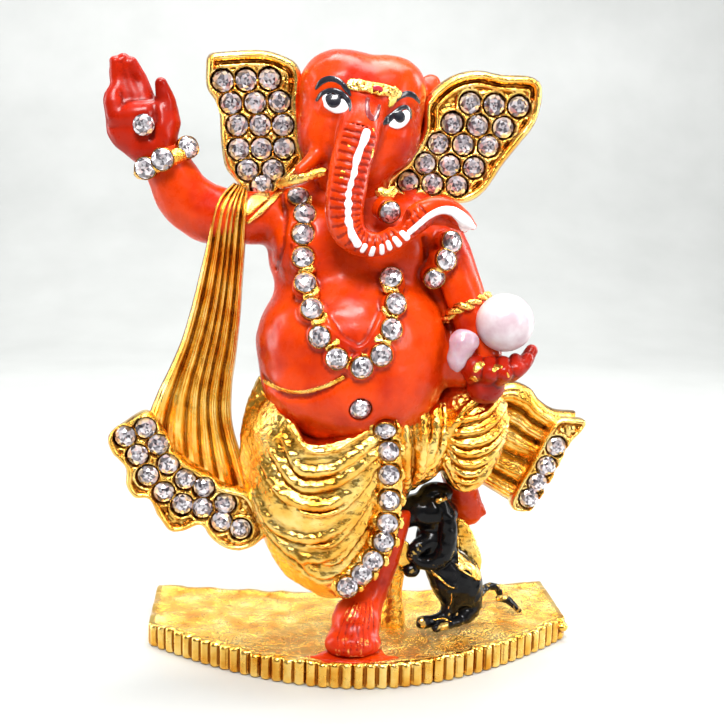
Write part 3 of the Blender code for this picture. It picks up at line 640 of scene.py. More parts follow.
def dhoti_clay():
    clay = Clay((-20, -15.5, 8), (13.5, 9.5, 44.5), 0.2)
    clay.ball((-4.8, -2.4, 33.0), (13.0, 10.6, 10.6), 0)
    clay.ball((-6.2, -2.8, 25.2), (11.2, 9.4, 10.4), 3.0)
    clay.ball((-5.6, -3.4, 17.6), (8.2, 7.0, 7.4), 3.0)
    clay.ball((-4.6, -4.0, 12.6), (3.6, 4.0, 3.4), 2.0)
    clay.ball((7.2, -1.4, 34.0), (5.4, 8.2, 8.4), 3.0)
    clay.tube([(-14.6, -3.0, 40.6, 1.6), (-16.2, -3.4, 36.0, 1.7), (-16.6, -3.6, 30.0, 1.7),
               (-15.6, -3.8, 24.4, 1.5)], 1.0)
    swags = [[(-12.4, 34.6), (-10.5, 31.0), (-8.9, 30.2), (-5.6, 30.8), (-3.0, 32.4), (-0.9, 34.0),
              (0.5, 34.9)],
             [(-13.8, 32.4), (-11.2, 29.0), (-8.8, 28.0), (-5.1, 28.9), (-1.8, 31.1), (0.3, 32.6)],
             [(-15.2, 30.6), (-12.8, 27.3), (-10.4, 25.7), (-6.9, 25.4), (-4.1, 26.5), (-1.7, 28.7),
              (0.5, 31.1)], [(-16.2, 26.4), (-14.6, 22.8), (-12.3, 20.9), (-8.7, 20.3), (-5.9, 21.1),
              (-3.0, 23.3), (-1.2, 25.7), (0.3, 28.4)], [(-14.6, 20.8), (-12.0, 18.6), (-10.3, 17.5),
              (-7.7, 17.2), (-5.3, 17.9), (-3.0, 20.1), (-0.9, 22.9), (0.5, 25.8)], [(-9.6, 16.8),
              (-7.9, 15.0), (-6.2, 14.5), (-3.8, 15.5), (-2.0, 18.0), (-0.1, 20.7), (0.9, 23.2)]]
    for line in swags:
        below = [(x - 0.2, z - 0.75) for x, z in line]
        clay.drape(below, 0.42, -0.1, 0.5, carve=True)
    for line in swags:
        widths = [0.35] + [0.62] * (len(line) - 2) + [0.35]
        clay.drape(line, widths, 0.05, 0.7)
    extra = [[(-11.4, 36.2), (-9.4, 33.6), (-6.6, 33.2), (-3.6, 34.4), (-1.0, 36.0)],
             [(-14.4, 28.4), (-11.6, 25.4), (-8.8, 24.0), (-5.4, 24.4), (-2.6, 26.4), (-0.4, 29.2)],
             [(-8.6, 19.2), (-5.6, 19.4), (-3.4, 21.4), (-1.4, 24.2)],
             [(-6.6, 16.4), (-4.6, 16.8), (-2.4, 19.4), (-0.6, 22.2)]]
    for line in extra:
        clay.drape(line, 0.25, 0.1, 0.35)
    for line in [[(4.2, 38.6), (4.7, 33.1), (5.1, 28.1), (5.4, 25.2)],
                 [(6.9, 38.6), (7.2, 34.3), (7.1, 30.6), (6.5, 26.2)],
                 [(9.2, 39.4), (9.0, 35.6), (8.4, 31.6), (7.6, 28.6)],
                 [(11.0, 40.6), (10.6, 37.3), (10.2, 33.1), (8.8, 30.1)]]:
        clay.groove([(x + 0.9, z) for x, z in line], 0.4, 0.5)
        clay.drape(line, 0.6, 0.1, 0.6)
    clay.trim(BELLY_EDGE, -1.0)
    for k in range(7):
        x = -14 + 3.6 * k
        clay.groove([(x, 40), (x * 0.9 - 1.0, 30), (x * 0.7 - 2.0, 18)], 0.5, 0.6, behind=True)
    return clay


def knee_clay():
    clay = Clay((7, -14, 21.5), (24, 6, 43.5), 0.17)
    clay.ball((14.6, -3.2, 35.0), (5.9, 6.6, 7.2), 0)
    clay.ball((14.4, -3.2, 30.4), (4.0, 5.2, 5.6), 2.0)
    swags = [[(10.9, 35.6), (13.1, 38.5), (15.8, 40.2)],
             [(10.7, 34.8), (12.3, 36.6), (15.5, 37.6), (18.6, 39.8)],
             [(10.7, 34.5), (12.3, 35.0), (15.7, 35.7), (19.4, 38.3)],
             [(10.6, 33.9), (13.0, 33.4), (16.4, 34.1), (19.6, 36.5)],
             [(10.5, 33.3), (13.1, 31.9), (16.2, 32.5), (19.3, 34.8)],
             [(10.4, 32.8), (12.8, 30.4), (16.0, 30.7), (18.8, 33.3)],
             [(10.3, 32.2), (12.6, 29.0), (15.5, 29.0), (18.1, 31.9)],
             [(10.5, 31.3), (12.7, 27.7), (15.2, 27.7), (17.6, 30.4)],
             [(10.9, 30.4), (12.9, 26.8), (14.4, 26.2), (17.0, 29.1)]]
    for line in swags:
        clay.drape([(x - 0.05, z - 0.62) for x, z in line], 0.3, -0.05, 0.35, carve=True)
    for line in swags:
        clay.drape(line, 0.4, 0.1, 0.4)
    return clay


# Stones


STONE_RADIUS = 1.5
STONE_HEIGHT = 1.3
TABLE_AREA = (2.2, 3.2)
TURNED_FORWARD = {"bracelet_stones": 0.9}
WELD, FACING, FLAT = 0.002, -0.2, 0.9995


class Stone:
    """One stone of a CAD group: the way it faces, and its seat on that axis, in millimetres."""

    def __init__(self, table, way):
        self.radius = STONE_RADIUS
        self.height = STONE_HEIGHT
        self.way = way
        self.seat = table - STONE_HEIGHT * way
        self.turn = np.cross(self.way, (0, 0, 1))
        self.turn /= np.linalg.norm(self.turn)
        self.up = np.cross(self.turn, self.way)

    def place(self, radius, angle, height):
        """The place at a distance and an angle from the stone's axis, so far above its seat."""
        side = math.cos(angle) * self.turn + math.sin(angle) * self.up
        return self.seat + radius * side + height * self.way


def stones_in(node):
    """The stones of a CAD group, found by the flat table on top of each."""
    work = bmesh.new()
    work.from_mesh(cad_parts[node].data)
    bmesh.ops.remove_doubles(work, verts=work.verts, dist=WELD * MM)
    work.normal_update()
    left = {face for face in work.faces if face.normal.y < FACING}
    found = []
    for seed in sorted(left, key=lambda face: face.index):
        if seed not in left:
            continue
        left.remove(seed)
        flat = [seed]
        for face in flat:
            for edge in face.edges:
                for other in edge.link_faces:
                    if other in left and other.normal.dot(seed.normal) > FLAT:
                        left.remove(other)
                        flat.append(other)
        area = sum(face.calc_area() for face in flat) / MM**2
        if TABLE_AREA[0] < area < TABLE_AREA[1]:
            corners = np.array([v.co for v in {v for face in flat for v in face.verts}]) / MM
            way = np.array(seed.normal) + TURNED_FORWARD.get(node, 0) * np.array((0, -1, 0))
            found.append(Stone((corners.min(0) + corners.max(0)) / 2, way / np.linalg.norm(way)))
    work.free()
    return found


GEM_SIDES = 8
GEM_SHOWN = 0.95
GEM_LEVELS = [(1.0, 0.0, 0), (1.0, 0.5, 0), (0.8, 0.74, 0.5), (0.55, 0.95, 0), (0.26, 1.0, 0.5)]


def gems(name, node, material):
    """Cut stones: a girdle, a crown of kite and star facets, and a table broken up by facets."""
    points, faces = [], []
    rng = np.random.default_rng(len(name))
    for stone in stones_in(node):
        start = len(points)
        spin = rng.uniform(0, math.pi)
        for level, (reach, rise, shift) in enumerate(GEM_LEVELS):
            for k in range(GEM_SIDES * 2 if level < 2 else GEM_SIDES):
                step = math.pi / GEM_SIDES * (k if level < 2 else 2 * (k + shift))
                points.append(stone.place(stone.radius * reach * GEM_SHOWN, spin + step, stone.height * rise))
        points.append(stone.place(0, 0, stone.height))
        points.append(stone.place(0, 0, 0))
        top, bottom = len(points) - 2, len(points) - 1
        low, girdle = start, start + 2 * GEM_SIDES
        crown = girdle + 2 * GEM_SIDES
        table, core = crown + GEM_SIDES, crown + 2 * GEM_SIDES
        double = 2 * GEM_SIDES
        for k in range(double):
            n = (k + 1) % double
            faces.append((bottom, low + n, low + k))
            faces.append((low + k, low + n, girdle + n, girdle + k))
        for k in range(GEM_SIDES):
            n, p = (k + 1) % GEM_SIDES, (k - 1) % GEM_SIDES
            a, b, c = girdle + 2 * k, girdle + 2 * k + 1, girdle + (2 * k + 2) % double
            faces.extend([(a, b, crown + k), (b, c, crown + k), (a, crown + k, crown + p)])
            faces.extend([(table + k, crown + p, crown + k), (table + k, crown + k, table + n)])
            faces.extend([(table + k, table + n, core + k), (core + p, table + k, core + k)])
            faces.append((core + p, core + k, top))
    made = mesh_piece(name, points, faces, smooth=False)
    work = bmesh.new()
    work.from_mesh(made.data)
    bmesh.ops.recalc_face_normals(work, faces=work.faces)
    work.to_mesh(made.data)
    work.free()
    # Each facet gets a random painted glint, which the crystal material turns into a grey from dark to
    # bright.
    painted_glints = rng.uniform(0, 1, len(made.data.polygons))
    layer = made.data.attributes.new("painted_glint", "FLOAT", "FACE")
    layer.data.foreach_set("value", painted_glints.astype(np.float32))
    return settle(made, material, node)


CUP_SIDES = 24


def cups(name, nodes, material, wall=0.05, rise=0.5):
    """Thin open cups round the stones' girdles."""
    points, faces, edge = [], [], []
    sides = CUP_SIDES
    for node in nodes:
        for stone in stones_in(node):
            r = stone.radius
            rows = [(r * 0.6, -0.35), (r + wall, -0.3), (r + wall * 1.15, stone.height * rise * 0.6),
                    (r + wall * 0.8, stone.height * rise), (r * 0.97, stone.height * rise * 0.9),
                    (r * 0.96, 0.05), (r * 0.6, 0.02)]
            start = len(points)
            for reach, up in rows:
                for k in range(sides):
                    wave = 0.03 * math.sin(5 * k) if reach > r + wall * 0.7 else 0
                    points.append(stone.place(reach + wave, 2 * math.pi * k / sides, up))
                    # Painted shade: the inner wall gets a low edge value so the gold material paints it dark,
                    # and the outer wall a little.
                    edge.append(-1.5 if reach < r + 0.1 else -0.2)
            count = len(rows)
            for i in range(count):
                j = (i + 1) % count
                for k in range(sides):
                    n = (k + 1) % sides
                    faces.append((start + i * sides + k, start + i * sides + n,
                                  start + j * sides + n, start + j * sides + k))
    made = mesh_piece(name, points, faces, edge)
    return settle(made, material)


# Plates shaped by an outline


def flat_gap(outline, gx, gy):
    """How far each place lies inside a closed outline, and how far along the outline it is."""
    gap = np.full(gx.shape, FAR)
    along = np.zeros(gx.shape)
    inside = np.zeros(gx.shape, bool)
    gone = 0.0
    for (ax, ay), (bx, by) in zip(outline, np.roll(outline, -1, axis=0)):
        wx, wy = bx - ax, by - ay
        length = math.hypot(wx, wy)
        t = np.clip(((gx - ax) * wx + (gy - ay) * wy) / max(length**2, 1e-9), 0, 1)
        here = np.hypot(gx - ax - wx * t, gy - ay - wy * t)
        along = np.where(here < gap, gone + t * length, along)
        gap = np.minimum(gap, here)
        if abs(wy) > 1e-9:
            inside ^= ((ay > gy) != (by > gy)) & (gx < wx * (gy - ay) / wy + ax)
        gone += length
    return np.where(inside, gap, -gap), along


def ridge(distance, width):
    """A rounded ridge, 1 at distance 0 and 0 beyond width."""
    return np.sqrt(np.clip(1 - (distance / width) ** 2, 0, 1))


def studded(name, outline, node, thickness, rims, web=0.62, step=0.17, seed=0, soft=0.5):
    """A plate with stones sunk in it, webs between them and rims as (distance in, width, height)."""
    stones = stones_in(node)
    seats = np.array([s.seat for s in stones])
    fit, *_ = np.linalg.lstsq(np.c_[np.ones(len(seats)), seats[:, 0], seats[:, 2]], seats[:, 1], rcond=None)
    edge = curve(outline, 0.5, closed=True)
    low, high = edge.min(0) - 0.8, edge.max(0) + 0.8
    corners = [fit[0] + fit[1] * a + fit[2] * b for a in (low[0], high[0]) for b in (low[1], high[1])]
    clay = Clay((low[0], min(corners) - 3, low[1]), (high[0], max(corners) + thickness + 1, high[1]), step)
    gx, gz = clay.plane(2)
    inward, _ = flat_gap(edge, gx, gz)
    seat = fit[0] + fit[1] * gx + fit[2] * gz
    nearest = np.full(gx.shape, FAR)
    for stone in stones:
        nearest = np.minimum(nearest, np.hypot(gx - stone.seat[0], gz - stone.seat[2]) - stone.radius)
    height = np.median([s.height for s in stones])
    spots = np.stack([gx.ravel(), gz.ravel(), np.zeros(gx.size)], 1)
    lumps = noise(spots, 2.2, seed).reshape(gx.shape) * 0.14 + noise(spots, 0.9,
                                                                     seed + 5).reshape(gx.shape) * 0.07
    pocket = np.clip((nearest - 0.05) / 0.22, 0, 1)
    rise = web * height * pocket + lumps * pocket + 0.25 * ridge(nearest - 0.35, 0.3)
    for distance, width, lift in rims:
        rise = np.maximum(rise, lift * ridge(inward - distance, width) * np.clip(nearest / 0.2, 0,
                                                                                 1) + 0.3 * lumps)
    clay.fill(seat - rise, seat + thickness + 0.3 * lumps, inward, soft)
    return clay.skin(name)


# Pleated cloth


PLEAT_ROWS = 110


def pleated(name, first, last, pleats, depth, thickness=0.9, sway=0.0, across=150, seed=0):
    """A sheet between two edges of (x, y, z) places, with rounded pleats along the edges."""
    a, b = curve(first, 0.4), curve(last, 0.4)
    rows = PLEAT_ROWS
    t = np.linspace(0, 1, rows)
    a = np.stack([np.interp(t, np.linspace(0, 1, len(a)), a[:, k]) for k in range(3)], 1)
    b = np.stack([np.interp(t, np.linspace(0, 1, len(b)), b[:, k]) for k in range(3)], 1)
    u = np.linspace(0, 1, across)
    grid = a[:, None] * (1 - u)[None, :, None] + b[:, None] * u[None, :, None]
    shift = sway * np.sin(t * 3.1)[:, None] + 0.02 * np.sin(t * 9 + 1)[:, None]
    spread = u + 0.035 * np.sin(2 * math.pi * (1.4 * u + 0.13 * seed)) * np.sin(math.pi * u)
    phase = pleats * (spread[None, :] + shift * np.sin(math.pi * u)[None, :])
    wave = np.abs(np.sin(math.pi * phase)) ** 0.75
    fine = 0.16 * np.abs(np.sin(math.pi * phase * 3 + 0.4))
    each = np.floor(phase)
    size = 0.75 + 0.35 * np.abs(np.sin(each * 2.3 + seed))
    lift = depth * (wave * size + fine * wave)
    spots = grid.reshape(-1, 3)
    grain = noise(spots * np.array([1, 1, 0.35]), 1.3, seed).reshape(grid.shape[:2]) * 0.05
    front = grid.copy()
    front[:, :, 1] -= lift + grain
    behind = grid.copy()
    behind[:, :, 1] += thickness - 0.5 * lift
    points = np.concatenate([front.reshape(-1, 3), behind.reshape(-1, 3)])
    # Painted shade: edge values follow the pleat wave, lowest in the grooves, so the gold is painted darker
    # there.
    bend = np.concatenate([(wave - 0.62).ravel() * 3.2, (0.5 - wave).ravel()])
    faces = []
    half = rows * across
    for i in range(rows - 1):
        for k in range(across - 1):
            p = i * across + k
            faces.append((p, p + 1, p + 1 + across, p + across))
            faces.append((half + p, half + p + across, half + p + 1 + across, half + p + 1))
    border = list(range(across)) + [i * across + across - 1 for i in range(1, rows)]
    border += [(rows - 1) * across + k for k in range(across - 2, -1,
                                                      -1)] + [i * across for i in range(rows - 2, 0, -1)]
    for p, q in zip(border, border[1:] + border[:1]):
        faces.append((q, p, half + p, half + q))
    return mesh_piece(name, points, faces, bend)


# Painted and applied details: thin coats on a surface, and free rods


def strokes(name, surface, lines, material, *nodes, lift=0.13, step=0.08, crown=0.25):
    """Raised strokes of paint or metal on the clay's front, as lines of (x, z, half width) places."""
    paths = [curve([(x, 0, z, width) for x, z, width in line], 0.25) for line in lines]
    rows = np.vstack(paths)
    reach = rows[:, 3].max() + 0.4
    low, high = rows[:, [0, 2]].min(0) - reach, rows[:, [0, 2]].max(0) + reach
    x = np.arange(low[0], high[0], step)
    z = np.arange(low[1], high[1], step)
    inward = np.full((len(x), len(z)), OUTSIDE)
    for path in paths:
        for a, b in zip(path, path[1:]):
            span = max(a[3], b[3]) + 0.5
            i = slice(*np.searchsorted(x, (min(a[0], b[0]) - span, max(a[0], b[0]) + span)))
            k = slice(*np.searchsorted(z, (min(a[2], b[2]) - span, max(a[2], b[2]) + span)))
            wx, wz = b[0] - a[0], b[2] - a[2]
            gx, gz = x[i][:, None], z[k][None, :]
            t = np.clip(((gx - a[0]) * wx + (gz - a[2]) * wz) / max(wx * wx + wz * wz, 1e-9), 0, 1)
            gap = a[3] + (b[3] - a[3]) * t - np.hypot(gx - a[0] - wx * t, gz - a[2] - wz * t)
            inward[i, k] = np.maximum(inward[i, k], gap)
    bed = surface.fronts(x, z)
    inward[np.isnan(bed)] = OUTSIDE
    used = bed[inward > 0]
    bed = np.nan_to_num(bed, nan=used.max())
    clay = Clay((x[0], used.min() - lift - 0.4, z[0]), (x[-1], used.max() + 0.6, z[-1]), step)
    count = (slice(0, clay.count[0]), slice(0, clay.count[2]))
    inward = np.pad(inward, 2, constant_values=OUTSIDE)[2:, 2:][count]
    bed = np.pad(bed, 2, mode="edge")[2:, 2:][count]
    top = bed - lift * ridge(np.clip(crown - inward, 0, crown), crown * 1.02)
    clay.fill(top, bed + 0.25, inward, 0.05)
    return settle(clay.skin(name), material, *nodes)


def lay_rod(name, path, material, *nodes, step=0.15, twist=0.0, pitch=1.0):
    """A free rod along (x, y, z, radius) rows, roped if twist is above 0."""
    path = curve(path, 0.25)
    reach = path[:, 3].max() * (1 + twist) + 0.6
    clay = Clay(path[:, :3].min(0) - reach, path[:, :3].max(0) + reach, step)
    if twist:
        gone = np.concatenate([[0], np.cumsum(np.linalg.norm(np.diff(path[:, :3], axis=0), axis=1))])
        ahead = np.gradient(path[:, :3], axis=0)
        ahead /= np.linalg.norm(ahead, axis=1)[:, None]
        side = np.cross(ahead, (0, -1, 0))
        side /= np.linalg.norm(side, axis=1)[:, None]
        other = np.cross(ahead, side)
        for strand in range(2):
            angle = math.pi * gone / pitch + math.pi * strand
            off = (np.cos(angle)[:, None] * side + np.sin(angle)[:, None] * other) * path[:, 3:] * 0.55
            clay.rod(np.c_[path[:, :3] + off, path[:, 3] * 0.62], 0.05)
    else:
        clay.rod(path, 0.2)
    return settle(clay.skin(name, 0.03, 0.8), material, *nodes)


def pads(clay, *nodes):
    """Small bosses for the stones that stand on the figure, with nothing left in front of the stones."""
    for node in nodes:
        for stone in stones_in(node):
            clay.disc(stone.seat - 1.0 * stone.way, stone.way, stone.radius + 0.15, 1.0, 0.6)
            clay.disc(stone.seat + 2.1 * stone.way, stone.way, stone.radius + 0.1, 2.0, 0.3, carve=True)


RIBS = 43
REAR_HOLLOW = 4.0
CORNER_Y = 0.35


def base_casting():
    low, high = node_box("base_plate")
    front = [(low[0] + (high[0] - low[0]) * t, CORNER_Y + (low[1] - CORNER_Y) * math.sin(math.pi * t) ** 0.9)
             for t in np.linspace(0, 1, 60)]
    rear = [(high[0] + (low[0] - high[0]) * t, high[1] - REAR_HOLLOW * math.sin(math.pi * t) ** 1.2)
            for t in np.linspace(0, 1, 40)]
    outline = np.array(front + rear)
    clay = Clay(low - 1, high + 1, 0.25)
    gx, gy = clay.plane(1)
    inward, along = flat_gap(outline, gx, gy)
    arc = np.linalg.norm(np.diff(np.array(front), axis=0), axis=1).sum()
    on_front = along < arc
    rib = np.abs(np.sin(math.pi * along / arc * RIBS))
    bite = np.where(on_front, 1.0 * (1 - rib**0.4) + 0.05, 0.1)
    spots = np.stack([gx.ravel(), gy.ravel(), np.zeros(gx.size)], 1)
    top = high[2] - 0.3 + (noise(spots, 5, 3) * 0.12 + noise(spots, 1.5, 4) * 0.03).reshape(gx.shape)
    top += 0.2 * ridge(inward - 0.9, 0.8)
    clay.fill(np.full(gx.shape, low[2]), top, inward - bite, 0.45, axis=2)
    clay.ball((31.2, -0.2, 2.2), (0.95, 0.95, 0.8), 0.2)
    settle(clay.skin("base_casting"), GOLD_BASE, "base_plate")
    spill = [(-9.4, -12.8), (-7.6, -12.0), (-6.2, -10.4), (-2.6, -8.6), (1.6, -9.8), (2.6, -12.2),
             (4.4, -13.2), (2.4, -13.8), (0.8, -14.7), (-1.6, -15.0), (-4.0, -14.8), (-6.4, -14.2),
             (-7.4, -13.3)]
    wet, _ = flat_gap(curve(spill, closed=True), gx, gy)
    for name, within, lift, material in (("base_top_grain", inward - 0.9, 0.06, GOLD_FOIL),
                                         ("red_paint_spill", wet, 0.16, RED)):
        coat = Clay(low - 1, high + 1, 0.25)
        coat.fill(top - 0.4, top + lift, within, 0.2, axis=2)
        settle(coat.skin(name), material)


def ears():
    right = [(-22.8, 85.8), (-20.2, 86.3), (-15.6, 86.6), (-12.9, 86.0), (-11.0, 85.0), (-10.2, 83.0),
             (-10.4, 80.0), (-10.2, 77.0), (-9.8, 74.0), (-9.4, 71.8), (-11.2, 69.4), (-13.1, 68.0),
             (-15.4, 65.4), (-17.3, 63.4), (-18.0, 66.0), (-18.9, 68.6), (-20.6, 70.9), (-21.2, 74.4),
             (-21.4, 77.9), (-22.0, 79.7), (-23.1, 81.4), (-23.2, 84.0)]
    left = [(6.6, 80.2), (8.7, 82.8), (11.1, 84.3), (14.2, 84.9), (17.5, 84.4), (21.4, 84.3), (23.0, 83.2),
            (23.2, 81.0), (22.4, 77.8), (20.4, 75.0), (18.1, 72.0), (15.6, 68.2), (12.6, 66.6), (8.2, 67.4),
            (4.0, 67.2), (1.4, 68.0), (1.6, 70.0), (4.4, 72.6), (6.4, 76.4)]
    rims = [(0.75, 0.7, 1.75), (2.0, 0.45, 1.35)]
    made = studded("right_ear_plate", right, "right_ear_stones", 1.2, rims, seed=3)
    settle(made, GOLD_DETAIL, "right_ear", "right_ear_rim")
    made = studded("left_ear_plate", left, "left_ear_stones", 1.2, rims, seed=9)
    settle(made, GOLD_DETAIL, "left_ear", "left_ear_rim")


def cloth():
    shoulder = [(-19.4, -3.6, 68.8), (-21.4, -5.6, 66.8), (-22.3, -6.2, 64.4), (-23.0, -5.6, 60.5),
                (-23.8, -4.4, 57.2), (-24.8, -3.6, 53.1), (-26.4, -3.0, 47.4), (-28.2, -2.6, 43.0),
                (-29.9, -2.2, 39.4), (-31.4, -1.6, 35.6), (-32.0, -1.0, 33.0)]
    inner = [(-17.4, -4.4, 68.0), (-17.5, -6.0, 66.0), (-17.6, -6.6, 63.8), (-17.7, -5.8, 60.6),
             (-18.1, -4.0, 54.7), (-18.4, -3.2, 49.9), (-19.0, -2.6, 44.1), (-19.5, -2.4, 40.1),
             (-19.4, -2.2, 34.4), (-17.4, -1.9, 27.6), (-15.8, -1.0, 22.0)]
    made = pleated("shawl_pleats", shoulder, inner, 6, 1.0, 1.1, sway=0.03, across=170, seed=2)
    settle(made, GOLD_CLOTH, "shawl")
    hem = [(-31.4, 36.9), (-29.2, 34.5), (-27.6, 31.6), (-25.5, 29.7), (-23.1, 28.2), (-20.7, 26.4),
           (-17.2, 25.3), (-15.4, 22.4), (-14.4, 19.4), (-15.4, 18.0), (-17.3, 16.9), (-19.8, 16.9),
           (-22.2, 18.4), (-23.8, 20.5), (-26.3, 19.7), (-28.2, 19.8), (-29.8, 22.0), (-31.1, 24.4),
           (-33.0, 24.6), (-34.2, 26.4), (-34.3, 29.0), (-36.2, 31.2), (-36.6, 33.5), (-34.6, 35.2)]
    made = studded("hem_plate", hem, "hem_stones", 1.4, [(0.6, 0.6, 1.5)], seed=21)
    settle(made, GOLD_DETAIL, "shawl_hem")
    top = [(17.5, 1.6, 39.6), (21.1, 1.2, 40.2), (22.6, 1.1, 40.3), (24.7, 0.8, 39.4), (26.0, 0.7, 37.8),
           (28.4, 0.6, 36.3), (31.6, 0.6, 36.0)]
    bottom = [(15.2, 2.6, 25.6), (17.0, 2.4, 24.9), (19.0, 2.0, 23.8), (20.8, 1.6, 22.8), (22.4, 1.2, 21.9),
              (24.0, 1.0, 21.2)]
    made = pleated("scarf_fan", top, bottom, 5, 1.7, 1.0, across=150, seed=5)
    settle(made, GOLD_CLOTH, "scarf_end")
    border = [(28.4, 35.4), (30.6, 35.5), (32.7, 35.0), (32.0, 33.4), (30.4, 31.6), (29.4, 29.4),
              (28.2, 26.8), (26.8, 24.0), (25.6, 21.8), (24.0, 21.1), (22.2, 21.5), (21.8, 23.0),
              (22.6, 25.0), (23.8, 27.4), (25.6, 31.0), (27.0, 33.8)]
    made = studded("scarf_edge", border, "scarf_stones", 1.3, [(0.45, 0.5, 1.3)], seed=31)
    settle(made, GOLD_DETAIL, "scarf_border")


def sash():
    """The studded band down the front of the dhoti, lying on the cloth."""
    stones = sorted(stones_in("sash_stones"), key=lambda s: -s.seat[2])
    path = [(*(s.seat - 0.9 * s.way), 1.75) for s in stones]
    first, last = np.array(path[0]), np.array(path[-1])
    path = [tuple(first + (0.1, 0.6, 2.0, -0.4))] + path + [tuple(last + (-0.6, 0.4, -0.9, -0.5))]
    rows = curve(path, 0.3)
    clay = Clay(rows[:, :3].min(0) - 3, rows[:, :3].max(0) + 3, 0.18)
    clay.rod(rows, 0.2, flat=0.6)
    for stone in stones:
        for side in (-1, 1):
            spot = stone.place(stone.radius + 0.3, 0 if side > 0 else math.pi, 0.1)
            clay.ball(spot, (0.5, 0.5, 0.9), 0.35)
    for a, b in zip(stones, stones[1:]):
        clay.ball((a.seat + b.seat) / 2, (1.0, 0.6, 0.45), 0.4)
    for stone in stones:
        clay.clear(stone, 0.1, 0.12)
    return settle(clay.skin("sash_band", 0.06, 1.0), GOLD_DETAIL, "front_sash")


def necklace_links():
    """Rough gold links showing between the necklace's stones."""
    stones = stones_in("necklace_stones")
    left = sorted([s for s in stones if s.seat[0] < -2.6], key=lambda s: -s.seat[2])
    right = sorted([s for s in stones if s.seat[0] >= -2.6], key=lambda s: s.seat[2])
    chain = left + right
    low = np.min([s.seat for s in chain], 0) - 2.5
    high = np.max([s.seat for s in chain], 0) + 2.5
    clay = Clay(low, high, 0.17)
    middle_x = np.mean([s.seat[0] for s in chain])
    rng = np.random.default_rng(4)
    for a, b in zip(chain, chain[1:]):
        spot = (a.seat + b.seat) / 2
        inward = np.array([np.sign(middle_x - spot[0]) * 0.8, 0, 0.3])
        size = rng.uniform(0.55, 0.9)
        clay.ball(spot + 0.1 * a.way, (size, 0.6, size), 0.4)
        clay.ball(spot + inward, (size * 0.8, 0.6, size * 1.1), 0.4, turn=(0, rng.uniform(-40, 40), 0))
        clay.ball(spot + 1.5 * inward + (0, 0, rng.uniform(-0.6, 0.6)), (0.4, 0.45, 0.6), 0.4)
    for stone in chain:
        clay.clear(stone, 0.2, 0.1)
    return settle(clay.skin("necklace_links", 0.08, 0.9), GOLD_ROUGH, "necklace_setting")


def lumps(name, surface, span, height, spread, count, size):
    """Grains of rough gold scattered on the front of a surface, along a line between two x places."""
    rng = np.random.default_rng(count)
    x = rng.uniform(*span, count)
    z = np.array([height(a) for a in x]) + rng.uniform(-spread, spread, count)
    y = np.array([surface.surface(a, c) for a, c in zip(x, z)])
    clay = Clay((x.min() - 1, y.min() - 1.5, z.min() - 1), (x.max() + 1, y.max() + 1, z.max() + 1), 0.09)
    for place in zip(x, y - 0.3, z):
        radii = size * rng.uniform(0.6, 1.25, 3)
        clay.ball(place, radii, 0.15, turn=rng.uniform(-60, 60, 3))
    return settle(clay.skin(name, 0.04, 0.5), GOLD_ROUGH)


